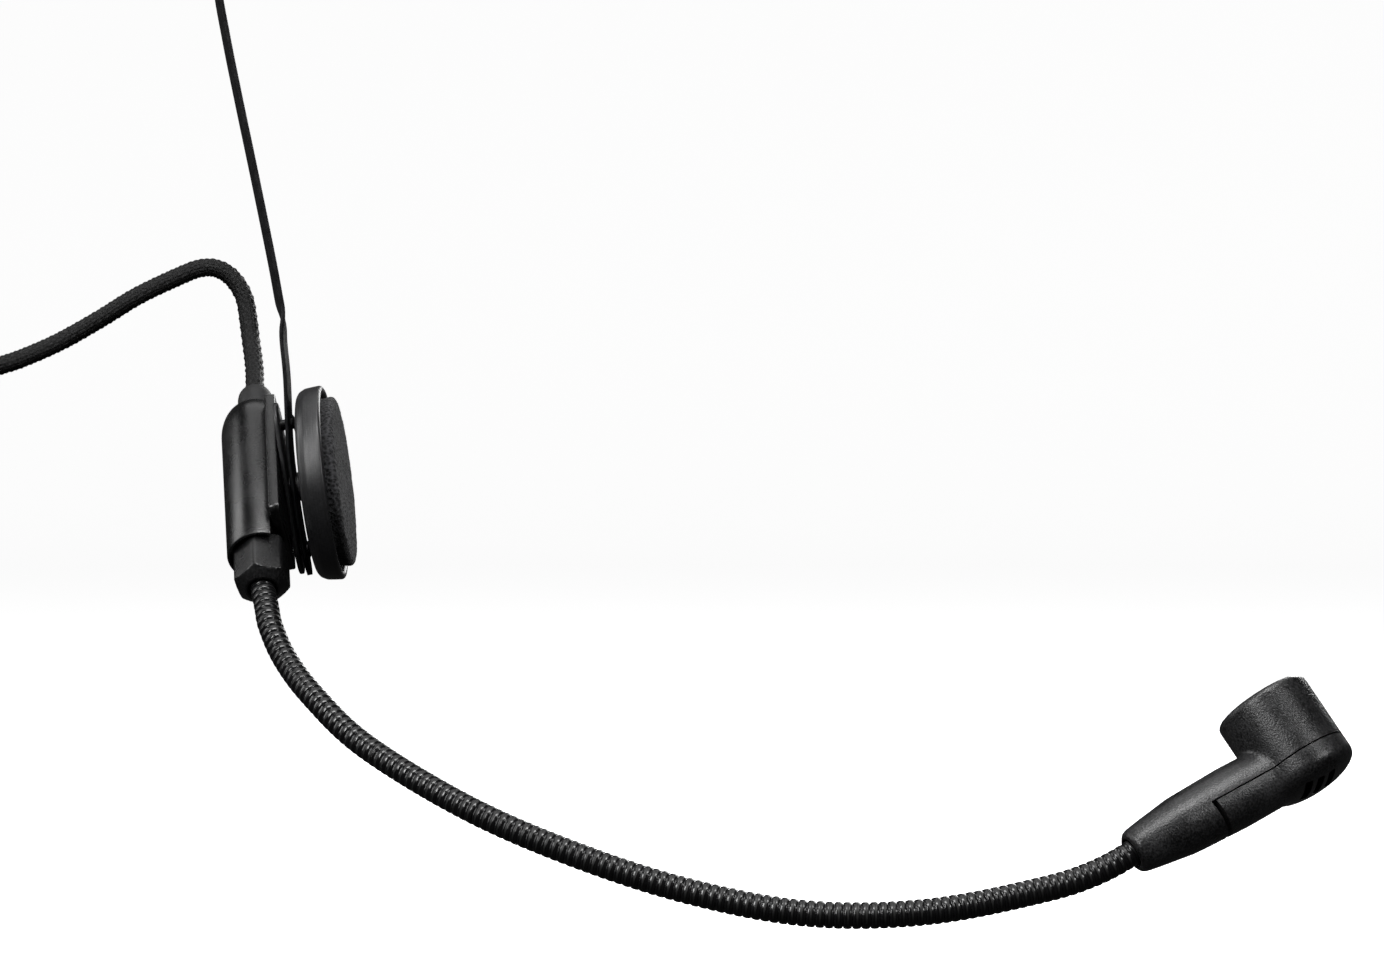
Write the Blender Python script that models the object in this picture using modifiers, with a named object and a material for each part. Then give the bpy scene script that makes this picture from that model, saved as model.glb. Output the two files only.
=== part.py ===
"""Headset microphone: a sprung steel headband with two swivelling temple pads, a turning boom
housing, a gooseneck that holds its bend, and a close-talking microphone head on its end.

Units are millimetres times MM, so the scene is in metres, +Z up. The origin is the inner face of
the headband at its crown, the wearer faces -Y, and the microphone side is at -X.
"""

import math

import bmesh
import bpy
from mathutils import Matrix, Vector

MM = 0.001
GAP = 0.3                      # clearance between pieces that touch

# Headband: a flat spring strip bent into half an ellipse on one long and one short leg.
STRIP_WIDTH = 8.6
STRIP_THICK = 1.0
ARCH_HALF_SPAN = 78.7
ARCH_RISE = 72.35
ARCH_FOOT_Z = -72.0
ARCH_YAW = math.radians(13.5)  # the arch turns back towards the far side
KINK_Z = -157.0                # the strip starts to twist towards the arch's plane here
TWIST_LENGTH = 6.0
STRIP_STEP = 6.5

# Boom pivot: its axis points at the head, tilted up a little with the strip.
PIVOT = Vector((-66.75, -14.9, -193.0))
PIVOT_TILT = math.radians(9.0)
BOOM_ANGLE = math.radians(47.0)  # the boom points down and this far forward
STRIP_LEVEL = 7.45             # the strip's middle, along the pivot axis
CLIP_FACE = 5.8                # the clip plate's outer face, along the pivot axis
CLIP_THICK = 0.85
CLIP_LENGTH = 35.5
CLIP_WIDTH = 10.4
RIVET_REACH = 13.0

# Boom housing, turned about the boom's own axis, with a flat side that takes the flange plate.
HOUSING_RADIUS = 7.3           # at the foot of its dome
HOUSING_LOW_RADIUS = 6.85      # at its open end
HOUSING_LOW = -19.0
DOME_FOOT = 16.9
DOME_TOP = 24.2
FLAT_SIDE = 3.0
FLANGE_THICK = 2.2
FLANGE_LENGTH = 35.0
FLANGE_WIDTH = 18.5
FLANGE_CORNER = 1.2
FLANGE_SHIFT = 2.5             # towards the dome
RECESS_RADIUS = 6.15
RECESS_TOP = -16.6
HEX_RADIUS = 5.85
HEX_TURN = math.radians(23.8)
HEX_END = -28.4
BUSH_END = 31.0
SCREW_PLACE = Vector((11.5, 5.0))

# Pads: a rigid cup with a foam disc, snapped on a ball at the end of a stud.
BALL_LEVEL = 11.0
BALL_RADIUS = 1.8
PAD_TILT = math.radians(6.8)
CUP_RADIUS = 20.0
CUP_BACK = -0.8
CUP_FRONT = 4.6
FOAM_RADIUS = 17.5
FOAM_FRONT = 7.3
FAR_PAD_TILT = math.radians(7.5)

# Gooseneck: the route of its axis from the gland to the microphone, in links.
NECK_RADIUS = 2.45
NECK_LINKS = 9
LINK_GAP = 0.8
NECK_ROUTE = [
    Vector((-62.7, -38.5, -214.7)),
    Vector((-61.5, -42.7, -218.8)),
    Vector((-58.0, -48.6, -225.2)),
    Vector((-51.5, -57.2, -232.3)),
    Vector((-40.4, -66.7, -241.4)),
    Vector((-20.0, -80.3, -252.1)),
    Vector((1.0, -89.1, -260.2)),
    Vector((22.2, -95.2, -266.3)),
    Vector((43.8, -99.3, -269.8)),
    Vector((65.8, -98.2, -269.5)),
    Vector((88.0, -92.0, -265.9)),
]
NECK_STEP = 3.4

# Microphone head: a neck along its X axis and a capsule housing along its Z axis.
HEAD_AT = Vector((103.9, -87.2, -259.9))
HEAD_LEAN = math.radians(26.4)   # the neck rises this much to the right
HEAD_BACK = math.radians(17.0)   # and runs this much away from the front
MOUTH_LEAN = math.radians(125.0)
MOUTH_BACK = math.radians(18.0)
NECK_INSIDE = 10.2
CAPSULE_AT = 38.65
CAPSULE_RADIUS = 9.6
CAPSULE_WALL = 1.9
MOUTH_TOP = 13.8
DOME_START = -3.1
DOME_DEPTH = 3.5
COVER_START = 17.2
COVER_SLANT = math.radians(10.0)
PARTING = 0.0
SLOTS = (35.4, 37.95, 40.5)
SLOT_WIDTH = 1.5

# Cable: the free route from the housing to the coil, then the tail to the plug.
CABLE_RADIUS = 1.9
CABLE_START = 31.4             # from the pivot, along the boom axis
CABLE_ROUTE = [
    Vector((-70.7, 12.8, -168.1)),
    Vector((-71.4, 16.8, -164.8)),
    Vector((-72.4, 20.6, -160.4)),
    Vector((-73.2, 23.0, -156.0)),
    Vector((-74.1, 24.5, -151.6)),
    Vector((-75.7, 25.1, -148.4)),
    Vector((-77.9, 25.3, -146.0)),
    Vector((-80.6, 25.2, -144.7)),
    Vector((-83.3, 25.0, -144.7)),
    Vector((-86.4, 24.5, -145.7)),
    Vector((-96.4, 22.3, -150.6)),
    Vector((-104.6, 20.0, -155.9)),
    Vector((-112.8, 17.8, -160.8)),
    Vector((-120.9, 15.5, -164.6)),
    Vector((-127.2, 13.7, -166.9)),
    Vector((-133.2, 12.0, -170.4)),
    Vector((-137.2, 10.8, -176.0)),
]
CABLE_STEP = 4.2
COIL_AT = Vector((-138.6, -15.6, -213.0))
COIL_RADIUS = 22.8             # to the middle of the turns
COIL_THICK = 5.7               # half of the bundle, each way
TAIL_END = -249.0
PLUG_LOW = TAIL_END - GAP

PARTS = "headset_microphone"
CUTTERS = "cutters"


# ---------------------------------------------------------------- scene, materials, places


def clear_scene():
    for obj in list(bpy.data.objects):
        bpy.data.objects.remove(obj, do_unlink=True)


def collection(name):
    made = bpy.data.collections.new(name)
    bpy.context.scene.collection.children.link(made)
    return made


def material(name, colour, roughness, metallic=0.0):
    made = bpy.data.materials.new(name)
    made.use_nodes = True
    shader = made.node_tree.nodes["Principled BSDF"]
    shader.inputs["Base Color"].default_value = (*colour, 1.0)
    shader.inputs["Roughness"].default_value = roughness
    shader.inputs["Metallic"].default_value = metallic
    return made


def make_materials():
    return {
        "spring_steel": material("spring_steel", (0.02, 0.02, 0.022), 0.3, 0.6),
        "black_metal": material("black_metal", (0.03, 0.03, 0.032), 0.35, 0.8),
        "bright_metal": material("bright_metal", (0.55, 0.55, 0.56), 0.3, 1.0),
        "gold_metal": material("gold_metal", (0.75, 0.6, 0.3), 0.25, 1.0),
        "moulded": material("moulded", (0.022, 0.022, 0.023), 0.5),
        "cup_plastic": material("cup_plastic", (0.045, 0.045, 0.048), 0.45),
        "rubber": material("rubber", (0.02, 0.02, 0.02), 0.7),
        "foam": material("foam", (0.05, 0.05, 0.052), 0.95),
        "braid": material("braid", (0.015, 0.015, 0.015), 0.8),
        "mesh": material("mesh", (0.06, 0.06, 0.062), 0.4, 0.9),
    }


def frame(origin, z_axis, x_axis):
    """The matrix, in millimetres, of axes with Z along z_axis and X as near x_axis as it can be."""
    z = z_axis.normalized()
    x = (x_axis - z * x_axis.dot(z)).normalized()
    y = z.cross(x)
    return Matrix.Translation(origin) @ Matrix((x, y, z)).transposed().to_4x4()


def in_metres(matrix):
    placed = matrix.copy()
    placed.translation = matrix.translation * MM
    return placed


def direction(lean, back):
    """A unit vector that leans in the XZ plane from +X and turns away from the front."""
    level = math.cos(back)
    return Vector((level * math.cos(lean), math.sin(back), level * math.sin(lean)))


PIVOT_AXIS = Vector((math.cos(PIVOT_TILT), 0.0, math.sin(PIVOT_TILT)))
STRIP_UP = Vector((-math.sin(PIVOT_TILT), 0.0, math.cos(PIVOT_TILT)))
BOOM_UP = STRIP_UP * math.cos(BOOM_ANGLE) + Vector((0.0, math.sin(BOOM_ANGLE), 0.0))
STACK = frame(PIVOT, PIVOT_AXIS, STRIP_UP)
BOOM = frame(PIVOT, BOOM_UP, PIVOT_AXIS)
FLANGE = frame(PIVOT, PIVOT_AXIS, BOOM_UP)
PAD_AXIS = Vector((math.cos(PAD_TILT), 0.0, math.sin(PAD_TILT)))
PAD_AT = PIVOT + PIVOT_AXIS * BALL_LEVEL
PAD = frame(PAD_AT, PAD_AXIS, Vector((0.0, 0.0, 1.0)))
ACROSS = Vector((math.cos(ARCH_YAW), math.sin(ARCH_YAW), 0.0))
BAND_WIDE = Vector((-math.sin(ARCH_YAW), math.cos(ARCH_YAW), 0.0))
FAR_AXIS = -ACROSS * math.cos(FAR_PAD_TILT) - Vector((0.0, 0.0, math.sin(FAR_PAD_TILT)))
FAR_STRIP_AT = ACROSS * 77.6 + Vector((0.0, 0.0, -66.0))
FAR_STACK = frame(FAR_STRIP_AT - FAR_AXIS * STRIP_LEVEL, FAR_AXIS, Vector((0.0, 0.0, 1.0)))
FAR_PAD_AT = FAR_STRIP_AT + FAR_AXIS * (BALL_LEVEL - STRIP_LEVEL)
FAR_PAD = frame(FAR_PAD_AT, FAR_AXIS, Vector((0.0, 0.0, 1.0)))
HEAD_X = direction(HEAD_LEAN, HEAD_BACK)
HEAD = frame(HEAD_AT, HEAD_X, direction(MOUTH_LEAN, MOUTH_BACK))
HEAD = frame(HEAD_AT, HEAD.col[0].to_3d(), HEAD_X)


# ---------------------------------------------------------------- shapes


def add(obj, parts, name, look, body=None):
    """Names a finished piece, gives it its material and hangs it on its body's empty."""
    obj.name = name
    obj.data.name = name
    obj.data.materials.clear()
    obj.data.materials.append(look)
    for owner in list(obj.users_collection):
        owner.objects.unlink(obj)
    parts.objects.link(obj)
    if body:
        obj.parent = body
        obj.matrix_parent_inverse = Matrix.Translation(-body.location)
    return obj


def new_object(name, data, matrix):
    obj = bpy.data.objects.new(name, data)
    bpy.context.scene.collection.objects.link(obj)
    obj.matrix_world = in_metres(matrix)
    return obj


def smooth(mesh, angle=35.0):
    mesh.shade_smooth()
    mesh.set_sharp_from_angle(angle=math.radians(angle))


def turned(profile, matrix, steps=24, closed=False):
    """A shape turned about its own Z axis from a profile of (radius, height) points, in
    millimetres, that runs down its outer side and, on a ring, back up its inner side."""
    shape = bmesh.new()
    points = [shape.verts.new((r * MM, 0.0, z * MM)) for r, z in profile]
    for first, second in zip(points, points[1:]):
        shape.edges.new((first, second))
    if closed:
        shape.edges.new((points[-1], points[0]))
    mesh = bpy.data.meshes.new("turned")
    shape.to_mesh(mesh)
    shape.free()
    obj = new_object("turned", mesh, matrix)
    screw = obj.modifiers.new("Turn", "SCREW")
    screw.axis = "Z"
    screw.angle = math.tau
    screw.steps = steps
    screw.render_steps = steps
    screw.use_merge_vertices = True
    screw.merge_threshold = 0.00001
    screw.use_smooth_shade = True
    return obj


def tube(points, radius, resolution=4, radii=None):
    """A round tube of poly points with filled ends; radii, if given, scales it at each point."""
    curve = bpy.data.curves.new("tube", "CURVE")
    curve.dimensions = "3D"
    curve.bevel_depth = radius * MM
    curve.bevel_resolution = resolution
    curve.use_fill_caps = True
    spline = curve.splines.new("POLY")
    spline.points.add(len(points) - 1)
    for index, (point, place) in enumerate(zip(spline.points, points)):
        point.co = (*(place * MM), 1.0)
        if radii:
            point.radius = radii[index] / radius
    return new_object("tube", curve, Matrix.Identity(4))


def plate(outlines, thick, matrix):
    """A flat plate of 2D outlines, the first its edge and the rest its holes, centred on Z = 0."""
    curve = bpy.data.curves.new("plate", "CURVE")
    curve.dimensions = "2D"
    curve.fill_mode = "BOTH"
    curve.extrude = thick * MM / 2
    for outline in outlines:
        spline = curve.splines.new("POLY")
        spline.points.add(len(outline) - 1)
        for point, (x, y) in zip(spline.points, outline):
            point.co = (x * MM, y * MM, 0.0, 1.0)
        spline.use_cyclic_u = True
    return new_object("plate", curve, matrix)


def round_rectangle(length, width, corner, steps=4):
    """Outline points of a rectangle with round corners, its length along X."""
    points = []
    centres = [(1, 1, 0), (-1, 1, 90), (-1, -1, 180), (1, -1, 270)]
    for side_x, side_y, start in centres:
        for step in range(steps + 1):
            angle = math.radians(start + 90 * step / steps)
            x = side_x * (length / 2 - corner) + corner * math.cos(angle)
            y = side_y * (width / 2 - corner) + corner * math.sin(angle)
            points.append((x, y))
    return points


def circle(radius, x=0.0, y=0.0, steps=16):
    angles = [math.tau * step / steps for step in range(steps)]
    return [(x + radius * math.cos(a), y + radius * math.sin(a)) for a in angles]


def to_mesh(obj):
    """The mesh of a curve object, with its caps welded, in its place."""
    shaped = obj.evaluated_get(bpy.context.evaluated_depsgraph_get())
    mesh = bpy.data.meshes.new_from_object(shaped)
    shape = bmesh.new()
    shape.from_mesh(mesh)
    bmesh.ops.remove_doubles(shape, verts=shape.verts, dist=0.000001)
    shape.to_mesh(mesh)
    shape.free()
    made = bpy.data.objects.new(obj.name, mesh)
    bpy.context.scene.collection.objects.link(made)
    made.matrix_world = obj.matrix_world
    bpy.data.objects.remove(obj, do_unlink=True)
    return made


def as_cutter(obj, cutters):
    if obj.type == "CURVE":
        obj = to_mesh(obj)
    for owner in list(obj.users_collection):
        owner.objects.unlink(obj)
    cutters.objects.link(obj)
    obj.hide_render = True
    obj.display_type = "WIRE"
    return obj


def boolean(obj, cutter, operation="DIFFERENCE"):
    step = obj.modifiers.new(operation.title(), "BOOLEAN")
    step.operation = operation
    step.solver = "EXACT"
    step.object = cutter
    return obj


def box(size, centre, matrix):
    """A block of the given size, in millimetres, centred at a point of the matrix's frame."""
    shape = bmesh.new()
    bmesh.ops.create_cube(shape, size=1.0)
    bmesh.ops.scale(shape, verts=shape.verts, vec=Vector(size) * MM)
    bmesh.ops.translate(shape, verts=shape.verts, vec=Vector(centre) * MM)
    mesh = bpy.data.meshes.new("block")
    shape.to_mesh(mesh)
    shape.free()
    return new_object("block", mesh, matrix)


def rod(radius, top, bottom, matrix, steps=20):
    """A plain cylinder along the matrix's Z axis."""
    return turned([(0.0, top), (radius, top), (radius, bottom), (0.0, bottom)], matrix, steps)


def ring(inner, outer, top, bottom, matrix, steps=20):
    profile = [(inner, top), (outer, top), (outer, bottom), (inner, bottom)]
    return turned(profile, matrix, steps, closed=True)


def spline_through(route, step):
    """Points a step apart along the smooth curve (Catmull-Rom) through a route's own points."""
    ends = [route[0] * 2 - route[1], *route, route[-1] * 2 - route[-2]]
    fine = []
    for before, here, there, after in zip(ends, ends[1:], ends[2:], ends[3:]):
        for part in range(24):
            t = part / 24
            fine.append(
                (
                    here * 2
                    + (there - before) * t
                    + (before * 2 - here * 5 + there * 4 - after) * t**2
                    + (here * 3 - before - there * 3 + after) * t**3
                )
                / 2
            )
    fine.append(route[-1].copy())
    lengths = [0.0]
    for first, second in zip(fine, fine[1:]):
        lengths.append(lengths[-1] + (second - first).length)
    count = max(2, round(lengths[-1] / step))
    points = []
    place = 0
    for index in range(count + 1):
        target = lengths[-1] * index / count
        while place < len(lengths) - 2 and lengths[place + 1] < target:
            place += 1
        share = (target - lengths[place]) / (lengths[place + 1] - lengths[place])
        points.append(fine[place].lerp(fine[place + 1], share))
    return points


# ---------------------------------------------------------------- headband


def in_stack(level, up):
    return PIVOT + PIVOT_AXIS * level + STRIP_UP * up


def strip_route():
    """The middle line of the strip: a bowed lower leg, a kink, a straight upper leg, the arch
    and the short far leg."""
    lower = [(7.75, -18.2), (7.4, -9.0), (7.45, 0.0), (7.85, 9.0), (9.35, 22.2), (9.85, 30.0)]
    route = [in_stack(level, up) for level, up in lower]
    upper = [(-63.6, -157.3), (-64.4, -153.3), (-65.9, -145.2), (-69.25, -128.8)]
    upper += [(-72.7, -112.4), (-75.2, -100.0), (-77.2, -88.0)]
    for across, up in upper:
        route.append(ACROSS * across + Vector((0.0, 0.0, up)))
    for degrees in range(178, 20, -13):
        angle = math.radians(degrees)
        up = ARCH_FOOT_Z + ARCH_RISE * math.sin(angle)
        route.append(ACROSS * (ARCH_HALF_SPAN * math.cos(angle)) + Vector((0.0, 0.0, up)))
    for across, up in [(76.1, -52.0), (77.6, -66.0), (78.6, -76.0), (79.4, -84.0)]:
        route.append(ACROSS * across + Vector((0.0, 0.0, up)))
    return route


def headband_strip(parts, cutters, looks):
    points = spline_through(strip_route(), STRIP_STEP)
    travelled = [0.0]
    for first, second in zip(points, points[1:]):
        travelled.append(travelled[-1] + (second - first).length)
    total = travelled[-1]
    half = STRIP_WIDTH / 2
    shape = bmesh.new()
    rows = []
    end_cuts = (0.12, 0.4, 0.75)
    places = [half * cut for cut in end_cuts]
    places += [s for s in travelled if half < s < total - half]
    places += [total - half * cut for cut in reversed(end_cuts)]
    for place in [0.02, *places, total - 0.02]:
        index = max(i for i, s in enumerate(travelled[:-1]) if s <= place)
        share = (place - travelled[index]) / (travelled[index + 1] - travelled[index])
        centre = points[index].lerp(points[index + 1], share)
        from_end = min(place, total - place, half)
        reach = math.sqrt(half**2 - (half - from_end) ** 2)
        turn = min(1.0, max(0.0, (centre.z - KINK_Z) / TWIST_LENGTH + 0.5))
        turn = turn * turn * (3.0 - 2.0 * turn)
        wide = Vector((0.0, 1.0, 0.0)).lerp(BAND_WIDE, turn).normalized()
        rows.append([shape.verts.new((centre + wide * side * reach) * MM) for side in (-1, 1)])
    for below, above in zip(rows, rows[1:]):
        shape.faces.new((below[0], below[1], above[1], above[0]))
    mesh = bpy.data.meshes.new("strip")
    shape.to_mesh(mesh)
    shape.free()
    obj = new_object("strip", mesh, Matrix.Identity(4))
    solid = obj.modifiers.new("Thickness", "SOLIDIFY")
    solid.thickness = STRIP_THICK * MM
    solid.offset = 0.0
    for stack in (STACK, FAR_STACK):
        boolean(obj, as_cutter(rod(2.5, 11.0, 5.0, stack, 16), cutters))
    for up in (-RIVET_REACH, RIVET_REACH):
        place = STACK @ Matrix.Translation((up, 0.0, 0.0))
        boolean(obj, as_cutter(rod(1.4, 11.0, 6.0, place, 12), cutters))
    return add(obj, parts, "headband_strip", looks["spring_steel"])


def clip_plate(parts, looks):
    holes = [circle(2.5), circle(1.4, RIVET_REACH, 0.0, 12), circle(1.4, -RIVET_REACH, 0.0, 12)]
    outline = round_rectangle(CLIP_LENGTH, CLIP_WIDTH, CLIP_WIDTH / 2 - 0.2, 6)
    place = STACK @ Matrix.Translation((0.0, 0.0, CLIP_FACE + CLIP_THICK / 2))
    add(plate([outline, *holes], CLIP_THICK, place), parts, "clip_plate", looks["black_metal"])


def clip_rivets(parts, looks):
    """Each rivet holds the clip plate to the strip; its head is on the pad side."""
    for name, up, head in (("lower", -RIVET_REACH, 8.3), ("upper", RIVET_REACH, 9.3)):
        profile = [(0.0, head + 0.35), (1.4, head + 0.3), (1.9, head), (1.1, head)]
        profile += [(1.1, CLIP_FACE + 0.1), (0.0, CLIP_FACE + 0.1)]
        place = STACK @ Matrix.Translation((up, 0.0, 0.0))
        add(turned(profile, place, 16), parts, f"clip_rivet_{name}", looks["bright_metal"])


def stud(name, head, head_radius, stack, parts, looks):
    """A stud through the strip: a flat head outside, a collar against the strip's inner face and
    the ball that the pad snaps on."""
    ball = [(0.0, BALL_LEVEL + BALL_RADIUS)]
    for degrees in (60, 30, 0, -30, -52):
        angle = math.radians(degrees)
        reach = BALL_RADIUS * math.cos(angle)
        ball.append((reach, BALL_LEVEL + BALL_RADIUS * math.sin(angle)))
    collar = [(1.0, 9.3), (1.0, 9.05), (2.6, 8.95), (3.0, 8.75), (3.0, 8.25), (2.2, 8.25)]
    foot = [(2.2, head), (head_radius, head), (head_radius, head - 1.1), (0.0, head - 1.1)]
    obj = turned(ball + collar + foot, stack, 20)
    return add(obj, parts, name, looks["bright_metal"])


# ---------------------------------------------------------------- pads


def pad(prefix, place, swivel_body, pad_body, parts, looks):
    """The socket that turns on the ball, and the cup, retainer and foam that rock on it."""
    inner = []
    for degrees in (-44, -22, 0, 20, 37):
        angle = math.radians(degrees)
        inner.append((2.1 * math.cos(angle), 2.1 * math.sin(angle)))
    outer = [(2.9, 1.3), (3.6, 0.6), (3.6, -0.8), (2.9, -1.5)]
    socket = turned(outer + inner, place, 20, closed=True)
    add(socket, parts, f"{prefix}pad_socket", looks["moulded"], swivel_body)

    floor = 1.2
    profile = [(18.9, CUP_FRONT), (CUP_RADIUS - 0.15, CUP_FRONT), (CUP_RADIUS, CUP_FRONT - 0.2)]
    profile += [(19.6, 1.0), (19.0, -0.2), (17.8, CUP_BACK)]
    profile += [(4.9, CUP_BACK), (4.9, floor), (18.0, floor)]
    profile += [(18.2, CUP_FRONT - 0.6)]
    cup = turned(profile, place, 40, closed=True)
    add(cup, parts, f"{prefix}pad_cup", looks["cup_plastic"], pad_body)

    low = floor + GAP
    profile = [(0.0, 2.5), (7.0, 2.5), (7.0, low), (5.2, low), (5.2, 1.95), (0.0, 1.95)]
    retainer = turned(profile, place, 24)
    add(retainer, parts, f"{prefix}pad_retainer", looks["bright_metal"], pad_body)

    profile = [(0.0, FOAM_FRONT), (FOAM_RADIUS - 0.8, FOAM_FRONT), (FOAM_RADIUS, FOAM_FRONT - 0.6)]
    profile += [(FOAM_RADIUS, low), (7.4, low), (7.4, 2.8), (0.0, 2.8)]
    foam = turned(profile, place, 32)
    add(foam, parts, f"{prefix}pad_foam", looks["foam"], pad_body)


# ---------------------------------------------------------------- boom


def boom_housing(body, parts, cutters, looks):
    """The moulded housing: a domed tube with a flat side, a recess for the gland and a pocket
    for the stud's head."""
    dome = []
    for step in range(5):
        angle = math.radians(90 * step / 4)
        reach = 3.6 + (HOUSING_RADIUS - 3.6) * math.sin(angle)
        dome.append((reach, DOME_FOOT + (DOME_TOP - DOME_FOOT) * math.cos(angle)))
    profile = [(3.05, DOME_TOP), *dome, (HOUSING_LOW_RADIUS, HOUSING_LOW + 0.3)]
    profile += [(HOUSING_LOW_RADIUS - 0.2, HOUSING_LOW), (RECESS_RADIUS, HOUSING_LOW)]
    profile += [(RECESS_RADIUS, RECESS_TOP), (2.3, RECESS_TOP)]
    profile += [(2.3, 14.0), (3.05, 14.0)]
    obj = turned(profile, BOOM, 32, closed=True)
    flat = box((6.0, 20.0, 50.0), (FLAT_SIDE + 3.0, 0.0, 9.1), BOOM)
    boolean(obj, as_cutter(flat, cutters))
    relief = box((4.0, 20.0, 12.0), (FLAT_SIDE + FLANGE_THICK + GAP + 1.9, 0.0, -19.0), BOOM)
    boolean(obj, as_cutter(relief, cutters))
    boolean(obj, as_cutter(rod(3.7, 5.0, 0.7, FLANGE, 16), cutters))
    for side in (1, -1):
        place = Matrix.Translation((side * SCREW_PLACE.x, side * SCREW_PLACE.y, 0.0))
        boolean(obj, as_cutter(rod(1.1, 5.0, -0.8, FLANGE @ place, 10), cutters))
    add(obj, parts, "boom_housing", looks["moulded"], body)


def flange_plate(body, parts, looks):
    """The plate that closes the housing's flat side and turns against the clip plate."""
    corners = round_rectangle(FLANGE_LENGTH, FLANGE_WIDTH, FLANGE_CORNER)
    outline = [(x + FLANGE_SHIFT, y) for x, y in corners]
    holes = [circle(2.5)]
    for side in (1, -1):
        holes.append(circle(2.0, side * SCREW_PLACE.x, side * SCREW_PLACE.y, 16))
    middle = FLAT_SIDE + GAP + FLANGE_THICK / 2
    obj = plate([outline, *holes], FLANGE_THICK, FLANGE @ Matrix.Translation((0.0, 0.0, middle)))
    add(obj, parts, "flange_plate", looks["moulded"], body)


def flange_screws(body, parts, cutters, looks):
    for index, side in enumerate((1, -1), start=1):
        place = Matrix.Translation((side * SCREW_PLACE.x, side * SCREW_PLACE.y, 0.0))
        head = 5.2
        profile = [(0.0, head), (1.7, head), (1.7, head - 0.9), (0.8, head - 1.7)]
        profile += [(0.8, -0.4), (0.0, -0.6)]
        obj = turned(profile, FLANGE @ place, 12)
        for turn in (0.0, math.pi / 2):
            slot = FLANGE @ place @ Matrix.Rotation(turn, 4, "Z")
            boolean(obj, as_cutter(box((2.2, 0.45, 1.0), (0.0, 0.0, head), slot), cutters))
        add(obj, parts, f"flange_screw_{index}", looks["black_metal"], body)


def gland(body, parts, cutters, looks):
    """The hexagonal gland nut, with the seal and the ferrule that it closes on the gooseneck."""
    shape = bmesh.new()
    bmesh.ops.create_cone(
        shape,
        cap_ends=True,
        segments=6,
        radius1=HEX_RADIUS * MM,
        radius2=HEX_RADIUS * MM,
        depth=(RECESS_TOP - GAP - HEX_END) * MM,
    )
    mesh = bpy.data.meshes.new("hexagon")
    shape.to_mesh(mesh)
    shape.free()
    middle = (RECESS_TOP - GAP + HEX_END) / 2
    turn = Matrix.Rotation(HEX_TURN, 4, "Z")
    obj = new_object("hexagon", mesh, BOOM @ Matrix.Translation((0.0, 0.0, middle)) @ turn)
    chamfer = [(3.5, HEX_END), (6.2, HEX_END + 2.2), (6.2, HEX_END - 1.0), (3.5, HEX_END - 1.0)]
    boolean(obj, as_cutter(turned(chamfer, BOOM, 24, closed=True), cutters))
    bore = [(0.0, -16.0), (3.9, -16.0), (3.9, -24.0), (2.95, -24.0), (2.95, HEX_END - 1.0)]
    bore += [(0.0, HEX_END - 1.0)]
    boolean(obj, as_cutter(turned(bore, BOOM, 20), cutters))
    add(obj, parts, "gland_nut", looks["moulded"], body)
    seal = ring(2.75, 3.6, -17.3, -19.0, BOOM, 16)
    add(seal, parts, "gland_seal", looks["rubber"], body)
    ferrule = ring(2.75, 3.6, -19.3, -23.7, BOOM, 16)
    add(ferrule, parts, "gooseneck_ferrule", looks["bright_metal"], body)


def boom_insides(body, parts, looks):
    """The cable bushing at the top, the lead inside and the spring washer under the flange."""
    profile = [(2.15, BUSH_END), (2.6, BUSH_END), (3.5, BUSH_END - 1.3), (3.7, BUSH_END - 2.8)]
    profile += [(3.7, DOME_TOP + GAP), (2.75, DOME_TOP + GAP), (2.75, 14.3), (2.15, 14.3)]
    bush = turned(profile, BOOM, 20, closed=True)
    add(bush, parts, "cable_bushing", looks["rubber"], body)
    lead = [BOOM @ Vector((-1.3, 0.0, z)) for z in (-16.0, 0.0, 14.0)]
    lead += [BOOM @ Vector((-1.0, 0.0, z)) for z in (18.0, 30.0)]
    add(tube(lead, 0.7, 2), parts, "boom_lead", looks["rubber"], body)
    washer = ring(2.5, 3.3, FLAT_SIDE, FLAT_SIDE - 0.5, FLANGE, 16)
    add(washer, parts, "friction_washer", looks["bright_metal"], body)


# ---------------------------------------------------------------- gooseneck


def neck_line():
    """The gooseneck's axis, from inside the gland nut to inside the microphone's neck."""
    start = [PIVOT - BOOM_UP * reach for reach in (17.3, 27.7)]
    finish = [HEAD_AT + HEAD_X * reach for reach in (-7.0, 0.0, NECK_INSIDE)]
    return spline_through([*start, *NECK_ROUTE, *finish], NECK_STEP)


def neck_joints(points):
    """Where the gooseneck's links meet: the point and the direction of the axis there."""
    count = len(points) - 1
    joints = []
    for link in range(1, NECK_LINKS):
        index = round(count * link / NECK_LINKS)
        along = (points[index + 1] - points[index - 1]).normalized()
        joints.append((index, points[index], along))
    return joints


def gooseneck(points, joints, bodies, parts, looks):
    ends = [0, *(index for index, _, _ in joints), len(points) - 1]
    for link, (first, last) in enumerate(zip(ends, ends[1:]), start=1):
        route = [point.copy() for point in points[first : last + 1]]
        if link > 1:
            route[0] = route[0] + (route[1] - route[0]).normalized() * (LINK_GAP / 2)
        if link < NECK_LINKS:
            route[-1] = route[-1] - (route[-1] - route[-2]).normalized() * (LINK_GAP / 2)
        add(tube(route, NECK_RADIUS, 3), parts, f"gooseneck_{link}", looks["black_metal"],
            bodies[link - 1])


# ---------------------------------------------------------------- microphone head


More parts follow.
